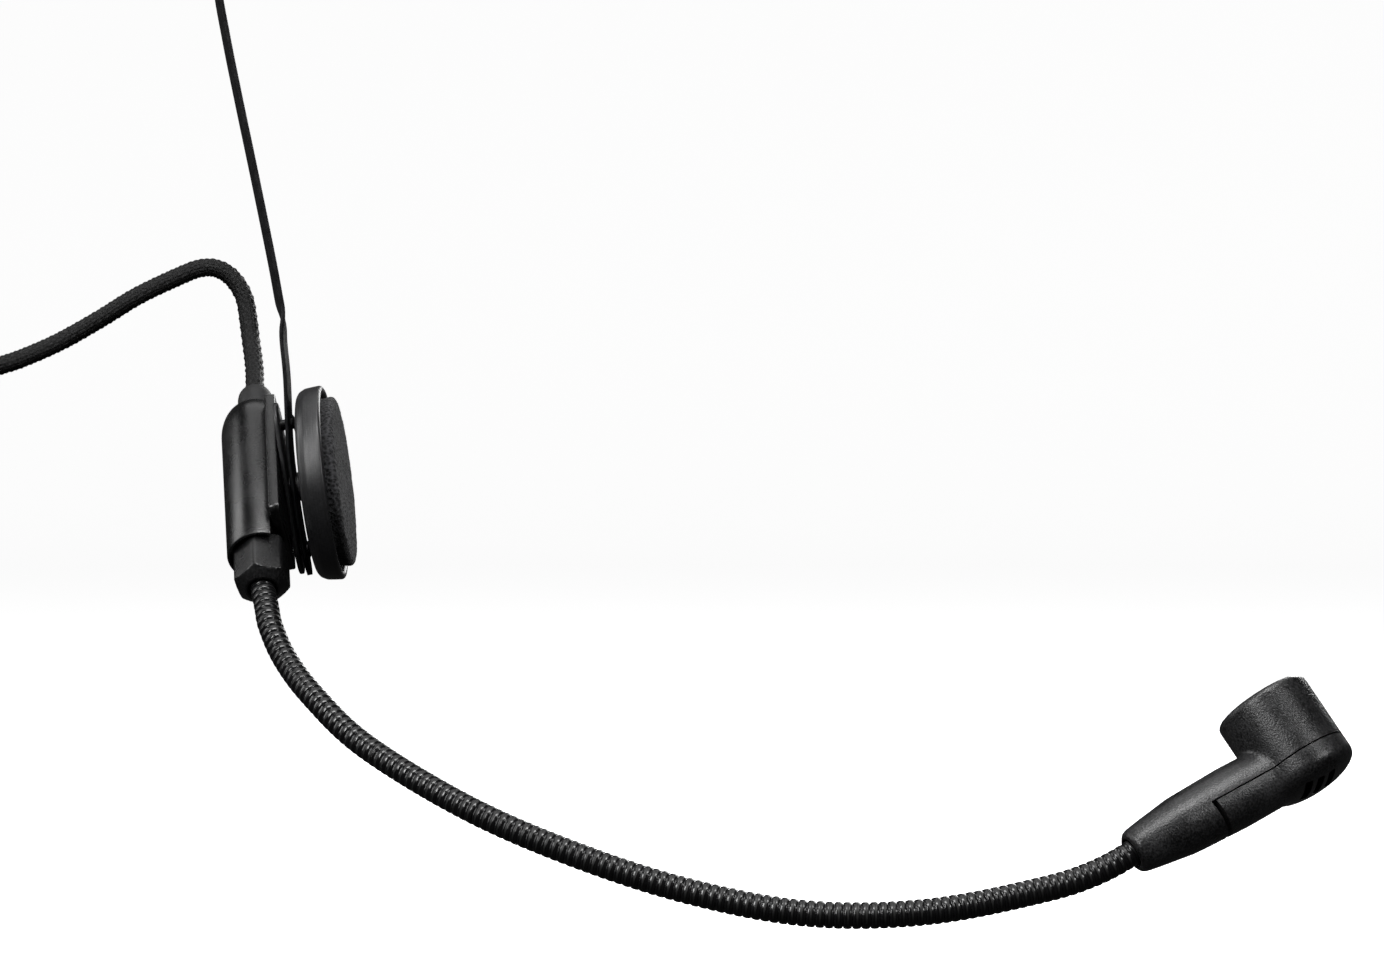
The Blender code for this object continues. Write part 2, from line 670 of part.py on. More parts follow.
def head_outside():
    """The outer shape of the microphone: a tapered neck that runs into the capsule's housing."""
    sections = [(0.0, 3.7), (0.6, 4.2), (1.6, 4.45), (4.9, 4.95), (8.0, 5.35), (11.2, 5.8)]
    sections += [(16.0, 5.98), (23.0, 6.2), (30.0, 6.1), (CAPSULE_AT, 5.7)]
    route = [HEAD @ Vector((x, 0.0, 0.0)) for x, _ in sections]
    return to_mesh(tube(route, 1.0, 5, [radius for _, radius in sections]))


def capsule_case(radius, top, dome_start, dome_depth, edge, steps=32):
    """A cylinder with a domed bottom, about the capsule's axis."""
    profile = [(0.0, top), (radius - edge, top), (radius, top - edge), (radius, dome_start)]
    for step in range(1, 5):
        angle = math.radians(90 * step / 4)
        reach = radius * math.cos(angle) ** 0.9 if step < 4 else 0.0
        profile.append((reach, dome_start - dome_depth * math.sin(angle)))
    place = HEAD @ Matrix.Translation((CAPSULE_AT, 0.0, 0.0))
    return turned(profile, place, steps)


def hollow_out(obj, cutters):
    """Cuts the capsule's chamber, the passage along the neck and the gooseneck's seat."""
    inside = CAPSULE_RADIUS - CAPSULE_WALL
    chamber = capsule_case(inside, MOUTH_TOP + 2.0, DOME_START, DOME_DEPTH - 1.8, 0.1, 24)
    boolean(obj, as_cutter(chamber, cutters))
    across = HEAD @ Matrix.Rotation(math.pi / 2, 4, "Y")
    passage = [(0.0, CAPSULE_AT), (2.6, CAPSULE_AT), (2.6, 11.6), (3.9, 11.6), (3.9, 6.5)]
    passage += [(2.75, 6.5), (2.75, -2.0), (0.0, -2.0)]
    boolean(obj, as_cutter(turned(passage, across, 16), cutters))


def cover_block(grow):
    """The space that the cover fills: under the parting plane and beyond its slanted edge."""
    size = 60.0
    corner = HEAD @ Matrix.Translation((COVER_START, 0.0, PARTING))
    block = box((size, size, size), (size / 2 - grow, 0.0, grow - size / 2), corner)
    slant = Matrix.Identity(4)
    slant[0][2] = -math.tan(COVER_SLANT)
    block.data.transform(slant)
    return block


def mic_shells(body, parts, cutters, looks):
    for name, grow, operation in (
        ("mic_body", GAP / 2, "DIFFERENCE"),
        ("mic_cover", -GAP / 2, "INTERSECT"),
    ):
        obj = head_outside()
        case = capsule_case(CAPSULE_RADIUS, MOUTH_TOP, DOME_START, DOME_DEPTH, 0.6)
        boolean(obj, as_cutter(case, cutters), "UNION")
        boolean(obj, as_cutter(cover_block(grow), cutters), operation)
        hollow_out(obj, cutters)
        if name == "mic_cover":
            for along in SLOTS:
                slot = box((SLOT_WIDTH, 8.2, 6.0), (along, -2.2, -4.8), HEAD)
                boolean(obj, as_cutter(slot, cutters))
        add(obj, parts, name, looks["moulded"], body)


def mic_insides(body, parts, looks):
    """The capsule in its rubber sleeve, the mouth's grille and ring, the vent cloth behind the
    slots, the leads and the ferrule on the gooseneck's end."""
    place = HEAD @ Matrix.Translation((CAPSULE_AT, 0.0, 0.0))
    capsule = [(0.0, 8.2), (6.2, 8.2), (6.4, 8.0), (6.4, -2.0), (0.0, -2.0)]
    add(turned(capsule, place, 20), parts, "mic_capsule", looks["bright_metal"], body)
    sleeve = ring(6.7, 7.4, 7.2, 1.2, place, 20)
    add(sleeve, parts, "capsule_sleeve", looks["rubber"], body)
    foam = rod(7.2, 11.3, 8.6, place, 20)
    add(foam, parts, "mouth_foam", looks["foam"], body)
    add(rod(7.4, 12.1, 11.6, place, 20), parts, "mouth_grille", looks["mesh"], body)
    rim = ring(6.5, 7.4, 13.3, 12.4, place, 20)
    add(rim, parts, "grille_ring", looks["black_metal"], body)
    add(rod(5.6, -2.6, -3.0, place, 20), parts, "vent_cloth", looks["mesh"], body)
    across = HEAD @ Matrix.Rotation(math.pi / 2, 4, "Y")
    ferrule = ring(2.75, 3.6, 11.3, 7.2, across, 16)
    add(ferrule, parts, "mic_ferrule", looks["bright_metal"], body)
    leads = [HEAD @ Vector((x, 0.0, 0.0)) for x in (NECK_INSIDE + GAP, 20.0, 31.6)]
    add(tube(leads, 0.8, 2), parts, "mic_lead", looks["rubber"], body)


# ---------------------------------------------------------------- cable and plug


def cable(parts, looks):
    start = [PIVOT + BOOM_UP * CABLE_START, PIVOT + BOOM_UP * (CABLE_START + 3.0)]
    last = Vector((COIL_AT.x, CABLE_ROUTE[-1].y, COIL_AT.z + 17.2))
    route = spline_through([*start, *CABLE_ROUTE, last], CABLE_STEP)
    add(tube(route, CABLE_RADIUS, 2), parts, "mic_cable", looks["braid"])
    coil = frame(COIL_AT, Vector((1.0, 0.0, 0.0)), Vector((0.0, 0.0, 1.0)))
    outer = COIL_RADIUS + COIL_THICK
    inner = COIL_RADIUS - COIL_THICK
    soft = 2.5
    profile = [(inner + soft, COIL_THICK), (outer - soft, COIL_THICK)]
    profile += [(outer, COIL_THICK - soft), (outer, soft - COIL_THICK)]
    profile += [(outer - soft, -COIL_THICK), (inner + soft, -COIL_THICK)]
    profile += [(inner, soft - COIL_THICK), (inner, COIL_THICK - soft)]
    add(turned(profile, coil, 32, closed=True), parts, "cable_coil", looks["braid"])
    tail_x = COIL_AT.x
    tail_y = CABLE_ROUTE[-1].y - 3.3
    tail = [Vector((tail_x, tail_y, COIL_AT.z - 19.6)), Vector((tail_x, tail_y, TAIL_END))]
    add(tube(spline_through(tail, CABLE_STEP), CABLE_RADIUS, 2), parts, "cable_tail",
        looks["braid"])
    side = 2 * (COIL_THICK + GAP)
    outline = round_rectangle(side + 1.8, side + 1.8, 3.4)
    hole = round_rectangle(side, side, 2.5)
    around = frame(COIL_AT + Vector((0.0, -COIL_RADIUS, 0.0)), Vector((0.0, 0.0, 1.0)),
                   Vector((1.0, 0.0, 0.0)))
    add(plate([outline, hole], 6.0, around), parts, "cable_tie", looks["rubber"])
    return Vector((tail_x, tail_y, 0.0))


def plug(at, ring_body, parts, looks):
    """A locking jack plug, pointing down: strain relief, shell, threaded ring and contacts."""
    place = Matrix.Translation((at.x, at.y, PLUG_LOW))
    relief = [(0.0, 0.0), (2.3, 0.0), (3.3, -13.0), (3.3, -14.0), (0.0, -14.0)]
    add(turned(relief, place, 16), parts, "plug_strain_relief", looks["rubber"])
    shell = [(0.0, -14.3), (3.6, -14.3), (4.2, -15.2), (4.2, -27.0), (3.0, -27.3)]
    shell += [(3.0, -35.4), (0.0, -35.4)]
    add(turned(shell, place, 20), parts, "plug_shell", looks["black_metal"])
    lock = [(3.4, -27.8), (4.6, -27.8), (4.8, -28.2), (4.8, -34.4), (4.4, -34.8), (3.4, -34.8)]
    add(turned(lock, place, 20, closed=True), parts, "plug_lock_ring", looks["black_metal"],
        ring_body)
    sleeve = [(0.0, -35.7), (1.75, -35.7), (1.75, -42.2), (0.0, -42.2)]
    add(turned(sleeve, place, 16), parts, "plug_sleeve", looks["gold_metal"])
    add(rod(1.7, -42.5, -43.3, place, 16), parts, "plug_insulator", looks["rubber"])
    tip = [(0.0, -43.6), (1.75, -43.6), (1.75, -46.6), (1.3, -47.3), (1.65, -48.1)]
    tip += [(0.9, -49.6), (0.0, -49.8)]
    add(turned(tip, place, 16), parts, "plug_tip", looks["gold_metal"])


# ---------------------------------------------------------------- assembly


def body_empty(name, place):
    """An empty at a moving body's joint, which its pieces hang on."""
    empty = bpy.data.objects.new(name, None)
    empty.location = place * MM
    empty.empty_display_size = 0.01
    bpy.context.scene.collection.objects.link(empty)
    return empty


def main():
    clear_scene()
    parts = collection(PARTS)
    cutters = collection(CUTTERS)
    looks = make_materials()

    headband_strip(parts, cutters, looks)
    clip_plate(parts, looks)
    clip_rivets(parts, looks)
    stud("pivot_stud", 2.2, 3.2, STACK, parts, looks)
    stud("far_pad_stud", 6.65, 3.0, FAR_STACK, parts, looks)

    swivel = body_empty("at_pad_swivel", PAD_AT)
    rocker = body_empty("at_pad", PAD_AT)
    pad("", PAD, swivel, rocker, parts, looks)
    far_swivel = body_empty("at_far_pad_swivel", FAR_PAD_AT)
    far_rocker = body_empty("at_far_pad", FAR_PAD_AT)
    pad("far_", FAR_PAD, far_swivel, far_rocker, parts, looks)

    boom = body_empty("at_boom", PIVOT)
    boom_housing(boom, parts, cutters, looks)
    flange_plate(boom, parts, looks)
    flange_screws(boom, parts, cutters, looks)
    gland(boom, parts, cutters, looks)
    boom_insides(boom, parts, looks)

    points = neck_line()
    joints = neck_joints(points)
    bodies = [boom]
    for link, (_, place, _) in enumerate(joints, start=2):
        bodies.append(body_empty(f"at_gooseneck_{link}", place))
    gooseneck(points, joints, bodies, parts, looks)
    mic_shells(bodies[-1], parts, cutters, looks)
    mic_insides(bodies[-1], parts, looks)

    at = cable(parts, looks)
    plug(at, body_empty("at_plug_lock_ring", at + Vector((0.0, 0.0, PLUG_LOW - 31.0))), parts,
         looks)


main()
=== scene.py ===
"""The looks of the headset microphone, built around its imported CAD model."""

from math import copysign, cos, hypot, pi, radians, sin, sqrt, tan, tau

import bmesh
import bpy
from mathutils import Matrix, Vector, noise


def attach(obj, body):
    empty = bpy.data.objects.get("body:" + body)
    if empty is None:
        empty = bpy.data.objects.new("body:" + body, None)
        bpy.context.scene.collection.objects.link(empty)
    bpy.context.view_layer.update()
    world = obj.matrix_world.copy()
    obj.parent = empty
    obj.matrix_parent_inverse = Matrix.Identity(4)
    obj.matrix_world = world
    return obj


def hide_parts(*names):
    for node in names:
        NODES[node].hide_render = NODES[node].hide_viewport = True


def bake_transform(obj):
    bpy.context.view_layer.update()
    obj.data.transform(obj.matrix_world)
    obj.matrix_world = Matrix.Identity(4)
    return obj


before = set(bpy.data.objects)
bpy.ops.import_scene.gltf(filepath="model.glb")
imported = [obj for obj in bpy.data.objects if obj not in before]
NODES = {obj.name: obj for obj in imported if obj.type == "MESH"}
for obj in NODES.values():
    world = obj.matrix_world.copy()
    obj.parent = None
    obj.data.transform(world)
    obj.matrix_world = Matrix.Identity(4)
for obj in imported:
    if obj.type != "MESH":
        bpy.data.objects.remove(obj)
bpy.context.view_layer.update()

MM = 0.001  # lengths below are in millimetres unless a comment says metres

# Headband strip, as in the CAD.
STRIP_WIDTH = 8.6
STRIP_THICK = 1.0
ARCH_HALF_SPAN = 78.7
ARCH_RISE = 72.35
ARCH_FOOT_Z = -72.0
ARCH_YAW = radians(13.5)
KINK_Z = -157.0
TWIST_LENGTH = 6.0

# Pivot, housing and pads, as in the CAD.
PIVOT = Vector((-66.75, -14.9, -193.0))
PIVOT_TILT = radians(9.0)
BOOM_ANGLE = radians(47.0)
STRIP_LEVEL = 7.45
CLIP_FACE = 5.8
CLIP_THICK = 0.85
CLIP_LENGTH = 35.5
CLIP_WIDTH = 10.4
HOUSING_RADIUS = 7.3
HOUSING_LOW_RADIUS = 6.85
HOUSING_LOW = -19.0
DOME_FOOT = 16.9
DOME_TOP = 24.2
FLAT_SIDE = 3.0
FLANGE_THICK = 2.2
FLANGE_LENGTH = 35.0
FLANGE_WIDTH = 18.5
FLANGE_CORNER = 1.2
FLANGE_SHIFT = 2.5
RECESS_RADIUS = 6.15
RECESS_TOP = -16.6
HEX_RADIUS = 5.85
HEX_TURN = radians(23.8)
HEX_END = -28.4
BUSH_END = 31.0
BALL_LEVEL = 11.0
PAD_TILT = radians(6.8)
FAR_PAD_TILT = radians(7.5)
CUP_RADIUS = 20.0
CUP_BACK = -0.8
CUP_FRONT = 4.6
FOAM_RADIUS = 17.5
FOAM_FRONT = 7.3

# Gooseneck and microphone head, as in the CAD.
NECK_RADIUS = 2.45
NECK_LINKS = 9
NECK_STEP = 3.4
RING_PITCH = 1.66
NECK_FINE = RING_PITCH / 15
NECK_BLEND = 9.0
NECK_ROUTE = [Vector(place) for place in (
    (-62.7, -38.5, -214.7), (-61.5, -42.7, -218.8), (-58.0, -48.6, -225.2),
    (-51.5, -57.2, -232.3), (-40.4, -66.7, -241.4), (-20.0, -80.3, -252.1),
    (1.0, -89.1, -260.2), (22.2, -95.2, -266.3), (43.8, -99.3, -269.8),
    (65.8, -98.2, -269.5), (88.0, -92.0, -265.9),
)]
HEAD_AT = Vector((103.9, -87.2, -259.9))
HEAD_LEAN = radians(26.4)
HEAD_BACK = radians(17.0)
MOUTH_LEAN = radians(125.0)
MOUTH_BACK = radians(18.0)
NECK_INSIDE = 10.2
CAPSULE_AT = 38.65
CAPSULE_RADIUS = 9.6
CAPSULE_WALL = 1.9
MOUTH_TOP = 13.8
DOME_START = -3.1
DOME_DEPTH = 3.5
COVER_START = 17.2
COVER_SLANT = radians(10.0)
COVER_GAP = 0.15
COVER_END_GAP = 0.51
SLOTS = (35.4, 37.95, 40.5)
SLOT_SIZE = (1.6, 7.4, 6.0)

# Mouth grille: its crossed wires and the crown they lie on.
WIRE_PITCH = 0.62
WIRE_RADIUS = 0.13
WIRE_WAVE = 0.1
WIRE_LEVEL = 11.75
GRILLE_RADIUS = 7.35
GRILLE_CROWN = 0.35

# Cable, as in the CAD: its free route to the coil, the coil's turns and the tail to the plug.
CABLE_DIAMETER = 3.8
BRAID_YARNS = 8.0
BRAID_PITCH = 2.1
CABLE_ROUTE = [Vector(place) for place in (
    (-70.7, 12.8, -168.1), (-71.4, 16.8, -164.8), (-72.4, 20.6, -160.4),
    (-73.2, 23.0, -156.0), (-74.1, 24.5, -151.6), (-75.7, 25.1, -148.4),
    (-77.9, 25.3, -146.0), (-80.6, 25.2, -144.7), (-83.3, 25.0, -144.7),
    (-86.4, 24.5, -145.7), (-96.4, 22.3, -150.6), (-104.6, 20.0, -155.9),
    (-112.8, 17.8, -160.8), (-120.9, 15.5, -164.6), (-127.2, 13.7, -166.9),
    (-133.2, 12.0, -170.4), (-137.2, 10.8, -176.0),
)]
COIL_AT = Vector((-138.6, -15.6, -213.0))
COIL_RADIUS = 22.8
COIL_TURNS = 7
COIL_RING = 4.1
TAIL_END = -249.2

# View and studio, in metres.
CAMERA_AT = (0.022, -0.8149, -0.190)
CAMERA_LENS = 101.55
FLOOR_Z = -0.318
BOWL_FLAT = 5.0
BOWL_CURVE = 1.0
BOWL_TOP = 6.0


# ---------- places


def axes(origin, z_axis, x_axis):
    """A frame at the origin with its Z along one axis and its X turned towards another."""
    z = z_axis.normalized()
    x = (x_axis - z * x_axis.dot(z)).normalized()
    y = z.cross(x)
    return Matrix.Translation(origin) @ Matrix((x, y, z)).transposed().to_4x4()


def direction(lean, back):
    """The way that leans up from +X by one angle and away from the camera by another."""
    level = cos(back)
    return Vector((level * cos(lean), sin(back), level * sin(lean)))


UP = Vector((0.0, 0.0, 1.0))
PIVOT_AXIS = Vector((cos(PIVOT_TILT), 0.0, sin(PIVOT_TILT)))
STRIP_UP = Vector((-sin(PIVOT_TILT), 0.0, cos(PIVOT_TILT)))
BOOM_UP = STRIP_UP * cos(BOOM_ANGLE) + Vector((0.0, sin(BOOM_ANGLE), 0.0))
BOOM = axes(PIVOT, BOOM_UP, PIVOT_AXIS)
FLANGE = axes(PIVOT, PIVOT_AXIS, BOOM_UP)
PAD_AXIS = Vector((cos(PAD_TILT), 0.0, sin(PAD_TILT)))
PAD = axes(PIVOT + PIVOT_AXIS * BALL_LEVEL, PAD_AXIS, UP)
ACROSS = Vector((cos(ARCH_YAW), sin(ARCH_YAW), 0.0))
BAND_WIDE = Vector((-sin(ARCH_YAW), cos(ARCH_YAW), 0.0))
FAR_AXIS = -ACROSS * cos(FAR_PAD_TILT) - Vector((0.0, 0.0, sin(FAR_PAD_TILT)))
FAR_STRIP_AT = ACROSS * 77.6 + Vector((0.0, 0.0, -66.0))
FAR_PAD = axes(FAR_STRIP_AT + FAR_AXIS * (BALL_LEVEL - STRIP_LEVEL), FAR_AXIS, UP)
HEAD_X = direction(HEAD_LEAN, HEAD_BACK)
MOUTH_AXIS = axes(HEAD_AT, HEAD_X, direction(MOUTH_LEAN, MOUTH_BACK)).col[0].to_3d()
HEAD = axes(HEAD_AT, MOUTH_AXIS, HEAD_X)
CAPSULE = HEAD @ Matrix.Translation((CAPSULE_AT, 0.0, 0.0))
ALONG_HEAD = HEAD @ Matrix.Rotation(pi / 2, 4, "Y")


# ---------- curves


def spline_through(route, step):
    """Points a step apart along the smooth curve (Catmull-Rom) through a route's own points."""
    ends = [route[0] * 2 - route[1], *route, route[-1] * 2 - route[-2]]
    fine = []
    for before, here, there, after in zip(ends, ends[1:], ends[2:], ends[3:]):
        bend = before * 2 - here * 5 + there * 4 - after
        twist = here * 3 - before - there * 3 + after
        for part in range(24):
            t = part / 24
            fine.append((here * 2 + (there - before) * t + bend * t**2 + twist * t**3) / 2)
    fine.append(route[-1].copy())
    return evenly(fine, step)


def evenly(fine, step):
    """Points a step apart along a line of closer points."""
    lengths = travelled(fine)
    count = max(2, round(lengths[-1] / step))
    points = []
    place = 0
    for index in range(count + 1):
        target = lengths[-1] * index / count
        while place < len(lengths) - 2 and lengths[place + 1] < target:
            place += 1
        share = (target - lengths[place]) / (lengths[place + 1] - lengths[place])
        points.append(fine[place].lerp(fine[place + 1], share))
    return points


def smooth_line(points, rounds):
    """The same line with its small corners taken out; its ends stay."""
    for _ in range(rounds):
        inner = [(a + b * 2 + c) / 4 for a, b, c in zip(points, points[1:], points[2:])]
        points = [points[0], *inner, points[-1]]
    return points


def carried_axes(points):
    """(along, side, other) at each point of a line, turned as little as possible between them."""
    found = []
    side = None
    for index, point in enumerate(points):
        before = points[max(0, index - 1)]
        after = points[min(len(points) - 1, index + 1)]
        along = (after - before).normalized()
        if side is None:
            side = along.orthogonal().normalized()
        side = (side - along * side.dot(along)).normalized()
        found.append((along, side, along.cross(side)))
    return found


def travelled(points):
    """How far along the line each of its points lies."""
    lengths = [0.0]
    for first, second in zip(points, points[1:]):
        lengths.append(lengths[-1] + (second - first).length)
    return lengths


# ---------- meshes


def new_object(name, data):
    obj = bpy.data.objects.new(name, data)
    bpy.context.scene.collection.objects.link(obj)
    return obj


def from_bmesh(name, shape):
    """A new object from a finished bmesh, which is freed."""
    mesh = bpy.data.meshes.new(name)
    shape.to_mesh(mesh)
    shape.free()
    return new_object(name, mesh)


def skin(name, rows, heights):
    """A closed tube of rows of points, in millimetres, with a UV map: turns along U, length
    along V."""
    shape = bmesh.new()
    uv = shape.loops.layers.uv.new("UVMap")
    made = [[shape.verts.new(point * MM) for point in row] for row in rows]
    sides = len(rows[0])
    for index in range(len(rows) - 1):
        for side in range(sides):
            after = (side + 1) % sides
            corners = (made[index][side], made[index][after])
            corners += (made[index + 1][after], made[index + 1][side])
            face = shape.faces.new(corners)
            places = ((side, index), (side + 1, index), (side + 1, index + 1), (side, index + 1))
            for loop, (u, v) in zip(face.loops, places):
                loop[uv].uv = (u / sides, heights[v])
    for row in (list(reversed(made[0])), made[-1]):
        middle = shape.verts.new(sum((v.co for v in row), Vector()) / sides)
        for side in range(sides):
            face = shape.faces.new((row[side], row[(side + 1) % sides], middle))
            for loop in face.loops:
                loop[uv].uv = (0.5, 0.0)
    bmesh.ops.recalc_face_normals(shape, faces=shape.faces)
    return shade(from_bmesh(name, shape), 50.0)


def tube(name, points, sides, profile):
    """A tube along points; profile(length, turn) gives its radius."""
    lengths = travelled(points)
    rows = []
    for point, length, (_, side, other) in zip(points, lengths, carried_axes(points)):
        row = []
        for index in range(sides):
            turn = index / sides
            angle = tau * turn
            out = side * cos(angle) + other * sin(angle)
            row.append(point + out * profile(length, turn))
        rows.append(row)
    return skin(name, rows, [length * MM for length in lengths])


def lathe(name, profile, matrix, steps=96, closed=False):
    """A shape turned about the matrix's Z axis from (radius, height) points in millimetres."""
    shape = bmesh.new()
    rows = []
    for radius, height in profile:
        if radius < 1e-6:
            rows.append([shape.verts.new(matrix @ Vector((0.0, 0.0, height)) * MM)])
            continue
        row = []
        for step in range(steps):
            angle = tau * step / steps
            place = Vector((radius * cos(angle), radius * sin(angle), height))
            row.append(shape.verts.new(matrix @ place * MM))
        rows.append(row)
    pairs = list(zip(rows, rows[1:]))
    if closed:
        pairs.append((rows[-1], rows[0]))
    for first, second in pairs:
        for step in range(steps):
            after = (step + 1) % steps
            if len(first) == 1 and len(second) == 1:
                continue
            if len(first) == 1:
                shape.faces.new((first[0], second[step], second[after]))
            elif len(second) == 1:
                shape.faces.new((first[step], first[after], second[0]))
            else:
                shape.faces.new((first[step], first[after], second[after], second[step]))
    bmesh.ops.recalc_face_normals(shape, faces=shape.faces)
    return shade(from_bmesh(name, shape))


def rounded(profile, radius, steps=4, closed=False):
    """A profile with its corners rounded off, each by at most the radius."""
    made = []
    count = len(profile)
    for index, (x, y) in enumerate(profile):
        here = Vector((x, y))
        if not closed and index in (0, count - 1):
            made.append((x, y))
            continue
        before = Vector(profile[index - 1]) - here
        after = Vector(profile[(index + 1) % count]) - here
        cut = min(radius, before.length * 0.45, after.length * 0.45)
        start = here + before.normalized() * cut
        end = here + after.normalized() * cut
        for step in range(steps + 1):
            t = step / steps
            point = start * (1 - t) ** 2 + here * 2 * t * (1 - t) + end * t**2
            made.append((point.x, point.y))
    return made


def block(size, centre, matrix, corner=0.0):
    """A cutter: a box with its edges rounded."""
    shape = bmesh.new()
    bmesh.ops.create_cube(shape, size=1.0)
    bmesh.ops.scale(shape, verts=shape.verts, vec=Vector(size))
    if corner:
        bmesh.ops.bevel(
            shape, geom=shape.edges[:], offset=corner, segments=5, affect="EDGES", profile=0.5
        )
    bmesh.ops.translate(shape, verts=shape.verts, vec=Vector(centre))
    bmesh.ops.transform(shape, verts=shape.verts, matrix=matrix)
    bmesh.ops.scale(shape, verts=shape.verts, vec=Vector((MM, MM, MM)))
    return from_bmesh("block", shape)


def baked(obj):
    """The object with its modifiers applied."""
    name = obj.name
    shaped = obj.evaluated_get(bpy.context.evaluated_depsgraph_get())
    mesh = bpy.data.meshes.new_from_object(shaped)
    mesh.name = name
    made = new_object(name, mesh)
    made.matrix_world = obj.matrix_world
    drop(obj)
    made.name = name
    return made


def drop(*objs):
    """Removes objects from the file."""
    for obj in objs:
        bpy.data.objects.remove(obj, do_unlink=True)


def cut(obj, *cutters, operation="DIFFERENCE", solver="MANIFOLD"):
    """The object cut by others, or joined to them, which are then removed."""
    for cutter in cutters:
        step = obj.modifiers.new("Cut", "BOOLEAN")
        step.operation = operation
        step.solver = solver
        step.object = cutter
    made = baked(obj)
    drop(*cutters)
    return made


def broken_edges(obj, width, segments, angle=None):
    """A bevel on the object's edges, or on those sharper than the angle."""
    bevel = obj.modifiers.new("Edges", "BEVEL")
    bevel.width = width
    bevel.segments = segments
    if angle:
        bevel.limit_method = "ANGLE"
        bevel.angle_limit = radians(angle)


def shade(obj, angle=38.0):
    """Smooth shading with sharp edges above an angle in degrees."""
    obj.data.shade_smooth()
    obj.data.set_sharp_from_angle(angle=radians(angle))
    return obj


def piece(obj, look, body=None, replaces=()):
    """Gives a finished piece its material, its body and the nodes it stands for."""
    obj.data.materials.clear()
    obj.data.materials.append(look)
    if replaces:
        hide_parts(*replaces)
    if body:
        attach(obj, body)
    return obj


# ---------- materials


class Look:
    """A Principled material whose colour, roughness and bump come from texture nodes."""

    def __init__(self, name, roughness=0.5, metallic=0.0, specular=0.5):
        self.material = bpy.data.materials.new(name)
        self.material.use_nodes = True
        self.nodes = self.material.node_tree.nodes
        self.links = self.material.node_tree.links
        self.shader = self.nodes["Principled BSDF"]
        self.plain("Roughness", roughness)
        self.plain("Metallic", metallic)
        self.plain("Specular IOR Level", specular)
        self.place = self.nodes.new("ShaderNodeTexCoord")
        self.bumped = None

    def plain(self, socket, value):
        """A value that is the same all over, set on the shader itself."""
        self.shader.inputs[socket].default_value = value

    def node(self, kind, inputs, **settings):
        """A new node, with each input linked to a socket or set to a value."""
        made = self.nodes.new(kind)
        for key, value in settings.items():
            setattr(made, key, value)
        for key, value in inputs.items():
            if isinstance(value, bpy.types.NodeSocket):
                self.links.new(value, made.inputs[key])
            else:
                made.inputs[key].default_value = value
        return made

    def stretched(self, scale):
        inputs = {"Vector": self.place.outputs["Object"], "Scale": scale}
        return self.node("ShaderNodeMapping", inputs).outputs["Vector"]

    def noise(self, scale, detail=3.0, roughness=0.55, vector=None):
        inputs = {"Vector": vector or self.place.outputs["Object"], "Scale": scale}
        inputs |= {"Detail": detail, "Roughness": roughness}
        return self.node("ShaderNodeTexNoise", inputs).outputs["Fac"]

    def cells(self, scale):
        inputs = {"Vector": self.place.outputs["Object"], "Scale": scale}
        return self.node("ShaderNodeTexVoronoi", inputs).outputs["Distance"]

    def flat(self):
        """The UV map's parts: turns round the tube in X, metres along it in Y."""
        return self.node("ShaderNodeSeparateXYZ", {"Vector": self.place.outputs["UV"]}).outputs

    def math(self, operation, first, second=0.5, third=0.0):
        inputs = {0: first, 1: second, 2: third}
        return self.node("ShaderNodeMath", inputs, operation=operation).outputs[0]

    def mix(self, first, share, second, other):
        """The sum of two heights, each times its own share."""
        return self.math("MULTIPLY_ADD", first, share, self.math("MULTIPLY", second, other))

    def crossed(self, first, second):
        """Two families of ridges that cross, one for each unit of first and of second."""
        ridges = [self.math("PINGPONG", place, 0.5) for place in (first, second)]
        return self.math("MULTIPLY", self.math("MULTIPLY", *ridges), 4.0)

    def colour(self, factor, low, high, start=0.3, end=0.7):
        """Base colour from low to high as the factor goes from start to end."""
        made = self.node("ShaderNodeValToRGB", {"Fac": factor})
        first, second = made.color_ramp.elements
        first.position, first.color = start, (*low, 1.0)
        second.position, second.color = end, (*high, 1.0)
        self.links.new(made.outputs["Color"], self.shader.inputs["Base Color"])

    def rough(self, factor, low, high):
        inputs = {"Value": factor, "From Min": 0.3, "From Max": 0.7, "To Min": low, "To Max": high}
        spread = self.node("ShaderNodeMapRange", inputs)
        self.links.new(spread.outputs["Result"], self.shader.inputs["Roughness"])

    def bump(self, height, strength, distance):
        """Relief on top of the relief already there."""
        inputs = {"Height": height, "Strength": strength, "Distance": distance}
        if self.bumped:
            inputs["Normal"] = self.bumped
        self.bumped = self.node("ShaderNodeBump", inputs).outputs["Normal"]
        self.links.new(self.bumped, self.shader.inputs["Normal"])


def grained_plastic(name, low, high, roughness, grain, strength):
    """Moulded plastic with a fine spark-eroded grain and faint uneven gloss."""
    look = Look(name, roughness, specular=0.36)
    grains = look.noise(grain, 2.0, 0.6)
    specks = look.cells(grain * 0.9)
    broad = look.noise(90.0, 4.0)
    mixed = look.mix(grains, 0.7, broad, 0.3)
    look.colour(mixed, low, high, 0.42, 0.66)
    look.rough(broad, roughness - 0.05, roughness + 0.07)
    look.bump(specks, strength * 0.3, 0.00014)
    look.bump(grains, strength, 0.00016)
    return look.material


